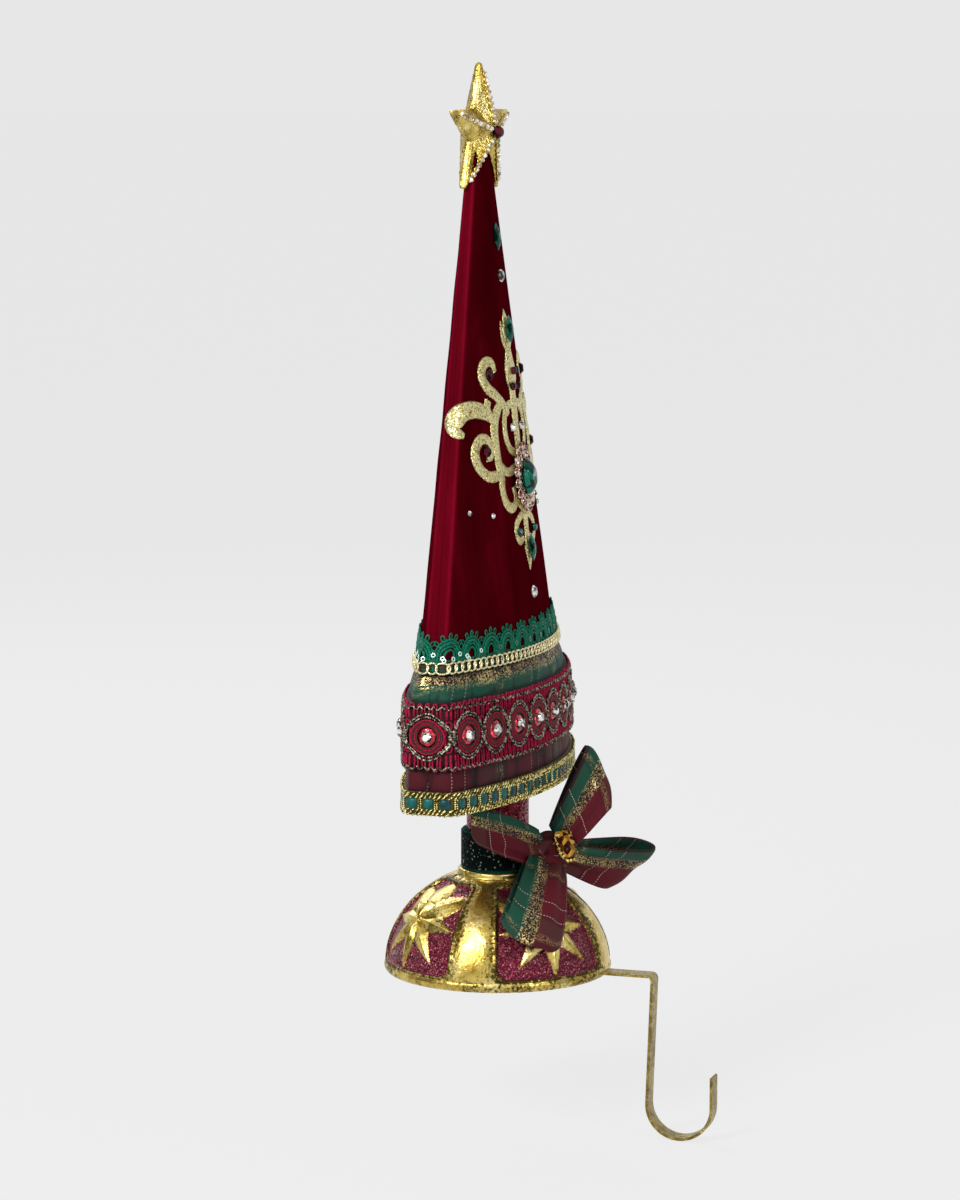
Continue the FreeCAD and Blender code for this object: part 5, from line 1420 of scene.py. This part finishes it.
def domeMesh(finish):
    # the profile has radius, height and, where it is the ellipse, the length up its arc
    profile = []
    for angle in np.linspace(-90, 38, 14):
        a = math.radians(angle)
        centre = dome["baseRadius"] - dome["rim"]
        profile.append((centre + dome["rim"] * math.cos(a), dome["rim"] + dome["rim"] * math.sin(a), None))
    sides = []
    lipStart = math.acos((dome["lip"] + 0.6) / dome["radius"])
    lowStart = math.asin((5.0 - dome["rim"]) / dome["rise"])
    for angle in np.linspace(lowStart, lipStart, dome["rows"]):
        sides.append((dome["radius"] * math.cos(angle), dome["rim"] + dome["rise"] * math.sin(angle)))
    arcs = np.concatenate([[0], np.cumsum([math.dist(a, b) for a, b in zip(sides, sides[1:])])])
    heights = [z for r, z in sides]
    dome["arcLow"] = float(np.interp(dome["panelLow"], heights, arcs))
    dome["arcHigh"] = float(np.interp(dome["panelHigh"], heights, arcs))
    profile += [(r, z, a) for (r, z), a in zip(sides, arcs)]
    lip, top = dome["lip"], dome["top"]
    profile += [(lip, top - 3.2, None), (lip - 0.25, top - 2.2, None), (lip + 0.1, top - 1.2, None),
                (lip - 0.1, top - 0.5, None), (lip - 0.7, top - 0.05, None), (lip - 1.6, top, None),
                (dome["bore"], top, None), (dome["bore"], top - 1.5, None)]
    # the inside of the casting
    inner = [(dome["radius"] - dome["wall"]) * math.cos(a) for a in np.linspace(1.45, 0.0, 12)]
    risen = [dome["rim"] + (dome["rise"] - dome["wall"]) * math.sin(a) for a in np.linspace(1.45, 0.0, 12)]
    profile += [(r, z, None) for r, z in zip(inner, risen)]
    profile += [(dome["baseRadius"] - 2 * dome["rim"], dome["rim"], None),
                (dome["baseRadius"] - 2 * dome["rim"], 0.4, None)]
    points, leaf, rubs = [], [], []
    columns = dome["columns"]
    for radius, height, arcUp in profile:
        steep = Vector((radius / dome["radius"] ** 2, (height - dome["rim"]) / dome["rise"] ** 2))
        steep.normalize()
        for column in range(columns):
            azimuth = 2 * math.pi * column / columns
            inset, share, rub = 0.0, 1.0, 0.3
            if arcUp is not None:
                inset, share, rub = domeInset(azimuth, height, radius, arcUp)
            reach, up = radius - steep.x * inset, height - steep.y * inset
            points.append((reach * math.cos(azimuth), reach * math.sin(azimuth), up))
            leaf.append(share)
            rubs.append(rub)
    faces = gridFaces(len(profile), columns, True)
    last = (len(profile) - 1) * columns
    faces += [(last + c, last + (c + 1) % columns, (c + 1) % columns, c) for c in range(columns)]
    return meshPiece("gildedDome", points, faces, finish, values={"leaf": leaf, "rubs": rubs})


domeFinish = goldLeaf("domeLeaf", 34.0, 0.485, 1.0, "rubs")


def domeTwoTone(made):
    # red glitter where the leaf attribute is off
    leaf = made.step(made.attribute("leaf"), 0.4, 0.6)
    level = made.apart(made.sparkle(1900.0, 1.25, made.math("SUBTRACT", 1.0, leaf)))[0]
    # painted glints: the brightest flakes of the red glitter are pale pink, besides the real glints of their
    # leaning normals
    red = made.ramp(level, (0.0, (0.02, 0.001, 0.004)), (0.5, (0.12, 0.003, 0.017)),
                    (0.8, (0.28, 0.011, 0.043)), (1.0, (0.95, 0.30, 0.36)))
    gold = made.shader.inputs["Base Color"].links[0].from_socket
    made.colour(made.mix(leaf, red, gold))
    made.put("Metallic", made.math("ADD", made.math("MULTIPLY", leaf, 0.35), 0.65))
    return made.material


gildedDome = turnOutwards(domeMesh(domeTwoTone(domeFinish)))
gildedDome.data.shade_smooth()
finished(gildedDome, "gold_leaf", "base_dome")
print("dome made", len(gildedDome.data.polygons))

# Bow: four ribbon loops that leave the knot and come back to it
bow = {"knot": (0.0, -25.4, 57.5), "knotRadius": 8.0, "width": 29.0, "gather": 7.0, "thickness": 0.7,
       "rows": 72, "columns": 21, "start": 5.6, "wrap": (0.022, 0.05)}
ribbonMaterial = plaidFinish("ribbonPlaid", 40.0, (0.22, 0.32), (0.92, 0.2), (0.8, 0.3), 0,
                             (0.12, 0.0085, 0.017))


def ribbonLoop(name, node, reach, widthDirection, fullness, cup, seed, spread, endShare, rounding):
    # reach runs from the knot to the loop's end; endShare changes its width, rounding draws its corners in
    root = Vector(bow["knot"])
    axis = Vector(reach).normalized()
    across = Vector(widthDirection).normalized()
    bulge = axis.cross(across).normalized()
    length = Vector(reach).length
    start = math.acos(1 - 2 * bow["start"] / length)

    def path(angle):
        share = (1 - math.cos(angle)) / 2
        swell = fullness * math.sin(angle) * math.sqrt(share)
        return root + axis * (length * share) + bulge * swell, share

    points, uv, run, before = [], [], 0.0, None
    for row in range(bow["rows"]):
        angle = start + (2 * math.pi - 2 * start) * row / (bow["rows"] - 1)
        here, share = path(angle)
        run += (here - before).length if before is not None else 0.0
        before = here
        width = bow["gather"] + (bow["width"] - bow["gather"]) * share ** spread
        width *= 1 + (endShare - 1) * share ** 2
        for column in range(bow["columns"]):
            w = column / (bow["columns"] - 1) * 2 - 1
            crease = 1.5 * (1 - share) ** 1.2 * math.cos(math.pi * 2.5 * w + seed)
            soft = 2.2 * noise.noise(Vector((w * 1.2, share * 2.0, seed))) * share
            out = cup * (1 - w * w) * share + crease + soft
            stretch = 0.9 * noise.noise(Vector((w * 1.5, seed * 3.0, share * 1.5))) * share
            pulled = stretch - (1.2 * w * w + rounding * w ** 4) * share ** 3
            point = here + across * (width / 2 * w) + bulge * out + axis * pulled
            points.append(tuple(point))
            uv.append(((w + 1) / 2 * bow["width"] * mm + 0.0012 * seed, run * mm))
    loop = meshPiece(name, points, gridFaces(bow["rows"], bow["columns"]), ribbonMaterial, uv=uv)
    solid(loop, bow["thickness"], 0.0)
    loop.data.shade_smooth()
    finished(loop, "ribbon", node)


ribbonLoop("ribbonUpperRight", "bow_loop_upper_right", (17, -21, 37.5), (0.1, -0.37, -0.92),
           fullness=6.5, cup=2.4, seed=1, spread=0.5, endShare=1.06, rounding=3.5)
ribbonLoop("ribbonLowerRight", "bow_loop_lower_right", (38, -33, -13), (0, 0.74, -0.67),
           fullness=5.9, cup=2.4, seed=2, spread=0.6, endShare=1.0, rounding=3.5)
ribbonLoop("ribbonLowerLeft", "bow_loop_lower_left", (-46, -4, -36), (0.5, -0.72, -0.46),
           fullness=5.0, cup=2.6, seed=3, spread=0.26, endShare=1.05, rounding=7.0)
ribbonLoop("ribbonUpperLeft", "bow_loop_upper_left", (-40, 26, 18), (0.22, -0.05, -1.0),
           fullness=4.0, cup=2.2, seed=4, spread=0.3, endShare=0.58, rounding=3.0)


def knotWrap():
    points, uv = [], []
    rows, columns = 49, 19
    middle = Vector(bow["knot"])
    for row in range(rows):
        angle = 2 * math.pi * (row % (rows - 1)) / (rows - 1)
        for column in range(columns):
            w = column / (columns - 1) * 2 - 1
            crease = 1.3 * math.cos(3.2 * math.pi * w + 2.2 * math.sin(angle))
            crease += 0.5 * math.sin(3 * angle + 2 * w)
            closing = max(0.0, 1 - w * w) ** 0.4
            radius = (bow["knotRadius"] * 1.02 + crease) * closing + 0.3
            x = 9.0 * w + 1.2 * math.sin(angle + 1.0)
            points.append(tuple(middle + Vector((x, -radius * math.cos(angle), radius * math.sin(angle)))))
            uv.append(((w + 1) * 0.006 + 0.0232, row / (rows - 1) * 0.048 + 0.03))
    obj = welded(meshPiece("knotWrap", points, gridFaces(rows, columns), ribbonMaterial, uv=uv), 1e-7, True)
    solid(obj, bow["thickness"])
    finished(obj, "ribbon", "bow_knot")


knotWrap()

# Jewel: step-cut amber stone in a clawed plate, with small pearls beside it
jewel = {"wide": 9.6, "tall": 13.4, "tilt": 24.0, "seat": 8.3, "pearl": 1.05}
tilt = math.radians(jewel["tilt"])
jewelNormal = Vector((-0.34 * math.cos(tilt), -0.94 * math.cos(tilt), math.sin(tilt))).normalized()
jewelRun = Vector((0.94, -0.34, 0))
jewelSpot = Vector(bow["knot"]) + jewelNormal * jewel["seat"]
wide, tall, trim = jewel["wide"] / 2, jewel["tall"] / 2, jewel["wide"] * 0.22
octagon = [(-wide + trim, -tall), (wide - trim, -tall), (wide, -tall + trim), (wide, tall - trim),
           (wide - trim, tall), (-wide + trim, tall), (-wide, tall - trim), (-wide, -tall + trim)]
stepCut = [(1.05, 0.84, 0), (2.1, 1.0, 0), (3.1, 0.92, 0), (4.0, 0.78, 0), (4.7, 0.60, 0), (5.0, 0.56, 0)]
jewelPlaces = [(jewelSpot, jewelNormal, jewelRun)]
frontGem("amberJewel", octagon, stepCut, amberStone, jewelPlaces, "amber", "bow_jewel")
settingParts = [cutStone(octagon, [(0, 0.96, 0), (0.25, 1.04, 0), (0.9, 1.02, 0), (1.0, 0.9, 0)])]
for x in (-wide, wide):
    for y in (-tall, tall):
        claw = [(x * 0.98, y * 0.72, 0.4), (x * 1.12, y * 0.76, 2.2), (x * 0.9, y * 0.7, 3.6)]
        settingParts.append(tube(claw, 0.42, 6))
settingParts += [ballParts((-wide * 1.2, y, 1.6), jewel["pearl"], 6, 10) for y in (-3.4, -1.1, 1.2)]
settingParts += [ballParts((x, -tall * 1.12, 1.6), jewel["pearl"], 6, 10) for x in (-2.6, -0.2, 2.2)]
settingGold = goldLeaf("settingGold", 90.0, 0.36)
settingMotif = motif("settingMotif", settingParts, settingGold.material)
finished(placed("bowSetting", jewelPlaces, settingMotif, settingGold.material), "gold_leaf", "bow_setting")
discard(settingMotif)
print("bow made")


# Solids that keep their shape and take a finish
def paint(material, *names):
    for name in names:
        nodes[name].data.materials.clear()
        nodes[name].data.materials.append(material)


paint(goldLeaf("hookBrass", 120.0, 0.50, 0.5).material, "stocking_hook")
redGlitter = glitter("redGlitter", (0.025, 0.001, 0.004), (0.50, 0.03, 0.07), 1700.0, 0.7, 1.2, 0.25)
paint(redGlitter.material, "trunk_post")
collar = {"middle": 57.85, "tealFrom": 8.1, "tealFull": 8.6}
dark = Finish("collarGlitter", Metallic=0.0, Roughness=0.6, Specular_IOR_Level=0.04)
flakes = dark.apart(dark.sparkle(1300.0, 1.2))[0]
# painted glints: a few flakes are coloured pale on the near-black glitter, standing in for sparkle
paintedSparkles = dark.ramp(flakes, (0.93, (0.0012, 0.0045, 0.004)), (0.97, (0.30, 0.42, 0.38)))
collarUp = dark.apart(dark.coordinates.outputs["Object"])[2]
fromMiddle = dark.math("ABSOLUTE", dark.math("SUBTRACT", collarUp, collar["middle"] * mm))
tealEdge = dark.step(fromMiddle, collar["tealFrom"] * mm, collar["tealFull"] * mm)
dark.colour(dark.mix(tealEdge, paintedSparkles, (0.0, 0.10, 0.085)))
paint(dark.material, "trunk_collar")
iron = Finish("castIron", Metallic=0.8, Roughness=0.55, Base_Color=(0.09, 0.09, 0.095, 1))
iron.bump(iron.noise(500.0, 4.0), 0.5, 0.4)
paint(iron.material, "base_weight")
steel = Finish("platedSteel", Metallic=1.0, Roughness=0.3)
steel.colour(steel.ramp(steel.noise(700.0, 3.0), (0.3, (0.45, 0.44, 0.42)), (0.7, (0.62, 0.61, 0.58))))
steel.bump(steel.noise(1600.0), 0.2, 0.1)
paint(steel.material, "centre_rod", "rod_washers", "rod_nuts", "hook_screws", "star_pin")
felt = threadFinish("greenFelt", (0.004, 0.022, 0.016), (0.016, 0.07, 0.05), 900.0, 0.4, 0.9)
paint(felt.material, "felt_pad")
wood = Finish("boardWood", Roughness=0.6)
grain = wood.noise(60.0, 4.0, 0.6, wood.position((1.0, 8.0, 8.0)), 0.8)
wood.colour(wood.ramp(grain, (0.3, (0.28, 0.16, 0.08)), (0.7, (0.46, 0.30, 0.16))))
wood.bump(grain, 0.3, 0.3)
paint(wood.material, "tree_board")
foam = Finish("coreFoam", Roughness=0.9)
foam.colour(foam.ramp(foam.cells(420.0, "Distance"), (0.1, (0.55, 0.53, 0.48)), (0.7, (0.72, 0.70, 0.66))))
foam.bump(foam.cells(420.0, "Distance"), 0.5, 0.5)
paint(foam.material, "tree_core")
print("finishes set")

# Studio: pale floor and air, soft lamps, dark cards and the photo's camera
studio = {"floor": -74.6, "camera": (-1711.96, -556.06, 412.378), "heading": 72.006, "yaw": -0.004596,
          "down": 0.131785, "focal": 3930.08, "tallPixels": 1200.0, "sensor": 36.0, "floorReach": 60.0,
          "floorGlow": 0.77, "airGlow": 0.30}
pale = (0.80, 0.80, 0.80, 1)
world = bpy.data.worlds.new("studio")
bpy.context.scene.world = world
world.use_nodes = True
air = world.node_tree
air.nodes.clear()
output, mixed = air.nodes.new("ShaderNodeOutputWorld"), air.nodes.new("ShaderNodeMixShader")
seen, lamp = air.nodes.new("ShaderNodeBackground"), air.nodes.new("ShaderNodeBackground")
seen.inputs["Color"].default_value, seen.inputs["Strength"].default_value = pale, 1.0
lamp.inputs["Color"].default_value = (0.95, 0.97, 1.0, 1)
lamp.inputs["Strength"].default_value = studio["airGlow"]


def anyRay(tree):
    path = tree.nodes.new("ShaderNodeLightPath")
    total = path.outputs["Is Camera Ray"]
    for label in ("Is Glossy Ray", "Is Transmission Ray"):
        most = tree.nodes.new("ShaderNodeMath")
        most.operation = "MAXIMUM"
        tree.links.new(total, most.inputs[0])
        tree.links.new(path.outputs[label], most.inputs[1])
        total = most.outputs[0]
    return total


air.links.new(anyRay(air), mixed.inputs[0])
air.links.new(lamp.outputs[0], mixed.inputs[1])
air.links.new(seen.outputs[0], mixed.inputs[2])
air.links.new(mixed.outputs[0], output.inputs["Surface"])

floorMesh = bpy.data.meshes.new("floor")
low, far = studio["floor"] * mm, studio["floorReach"]
floorMesh.from_pydata([(-far, -far, low), (far, -far, low), (far, far, low), (-far, far, low)], [],
                      [(0, 1, 2, 3)])
floor = link(bpy.data.objects.new("floor", floorMesh))
floorFinish = Finish("paleFloor", Roughness=0.9, Specular_IOR_Level=0.1, Base_Color=pale)
# seen by the camera or in a reflection the floor is as pale as the air, and keeps a soft shadow
shown = floorFinish.tree.nodes.new("ShaderNodeBsdfPrincipled")
for label, value in (("Base Color", (0.09, 0.09, 0.09, 1)), ("Roughness", 0.9), ("Specular IOR Level", 0.0),
                     ("Emission Color", (1, 1, 1, 1)), ("Emission Strength", studio["floorGlow"])):
    shown.inputs[label].default_value = value
either = floorFinish.tree.nodes.new("ShaderNodeMixShader")
floorFinish.wire(anyRay(floorFinish.tree), either.inputs[0])
floorFinish.wire(floorFinish.shader.outputs[0], either.inputs[1])
floorFinish.wire(shown.outputs[0], either.inputs[2])
floorFinish.wire(either.outputs[0], floorFinish.tree.nodes["Material Output"].inputs["Surface"])
floorMesh.materials.append(floorFinish.material)


def softLamp(name, spot, target, size, power, colour=(1, 1, 1)):
    light = bpy.data.lights.new(name, "AREA")
    light.shape, light.size, light.energy, light.color = "DISK", size, power, colour
    obj = link(bpy.data.objects.new(name, light))
    obj.location = spot
    obj.rotation_euler = (Vector(target) - Vector(spot)).to_track_quat("-Z", "Y").to_euler()


softLamp("keyLamp", (-1.6, 0.5, 1.2), (0, 0, 0.2), 0.7, 27)
softLamp("frontLamp", (-1.0, -1.5, 0.8), (0, 0, 0.2), 0.7, 10)
softLamp("backLamp", (1.2, 0.9, 1.2), (0, 0, 0.2), 0.8, 9)


def darkCard(name, spot, wide, tall):
    # stands beside the camera: seen only in reflections, it gives the metal its dark edges
    half = wide / 2
    mesh = bpy.data.meshes.new(name)
    mesh.from_pydata([(-half, 0, 0), (half, 0, 0), (half, 0, tall), (-half, 0, tall)], [], [(0, 1, 2, 3)])
    card = link(bpy.data.objects.new(name, mesh))
    card.location = spot
    card.rotation_euler = (0, 0, math.atan2(-spot[0], spot[1]))
    card.visible_camera = card.visible_diffuse = card.visible_shadow = card.visible_transmission = False
    black = Finish(name, Roughness=0.9, Specular_IOR_Level=0.0, Base_Color=(0.01, 0.01, 0.01, 1))
    mesh.materials.append(black.material)


darkCard("darkCardLeft", (-0.9, 1.5, -0.07), 1.1, 1.6)
darkCard("darkCardRight", (-0.2, -1.6, -0.07), 1.0, 1.6)

camera = link(bpy.data.objects.new("camera", bpy.data.cameras.new("camera")))
heading = math.radians(studio["heading"]) + studio["yaw"]
level = math.cos(studio["down"])
look = Vector((math.sin(heading) * level, math.cos(heading) * level, -math.sin(studio["down"])))
right = Vector((math.cos(heading), -math.sin(heading), 0))
turned = Matrix((right, right.cross(look), -look)).transposed().to_4x4()
camera.matrix_world = Matrix.Translation(Vector(studio["camera"]) * mm) @ turned
camera.data.sensor_fit = "VERTICAL"
camera.data.sensor_height = studio["sensor"]
camera.data.lens = studio["focal"] / studio["tallPixels"] * studio["sensor"]
bpy.context.scene.camera = camera
bpy.context.scene.view_settings.view_transform = "Standard"
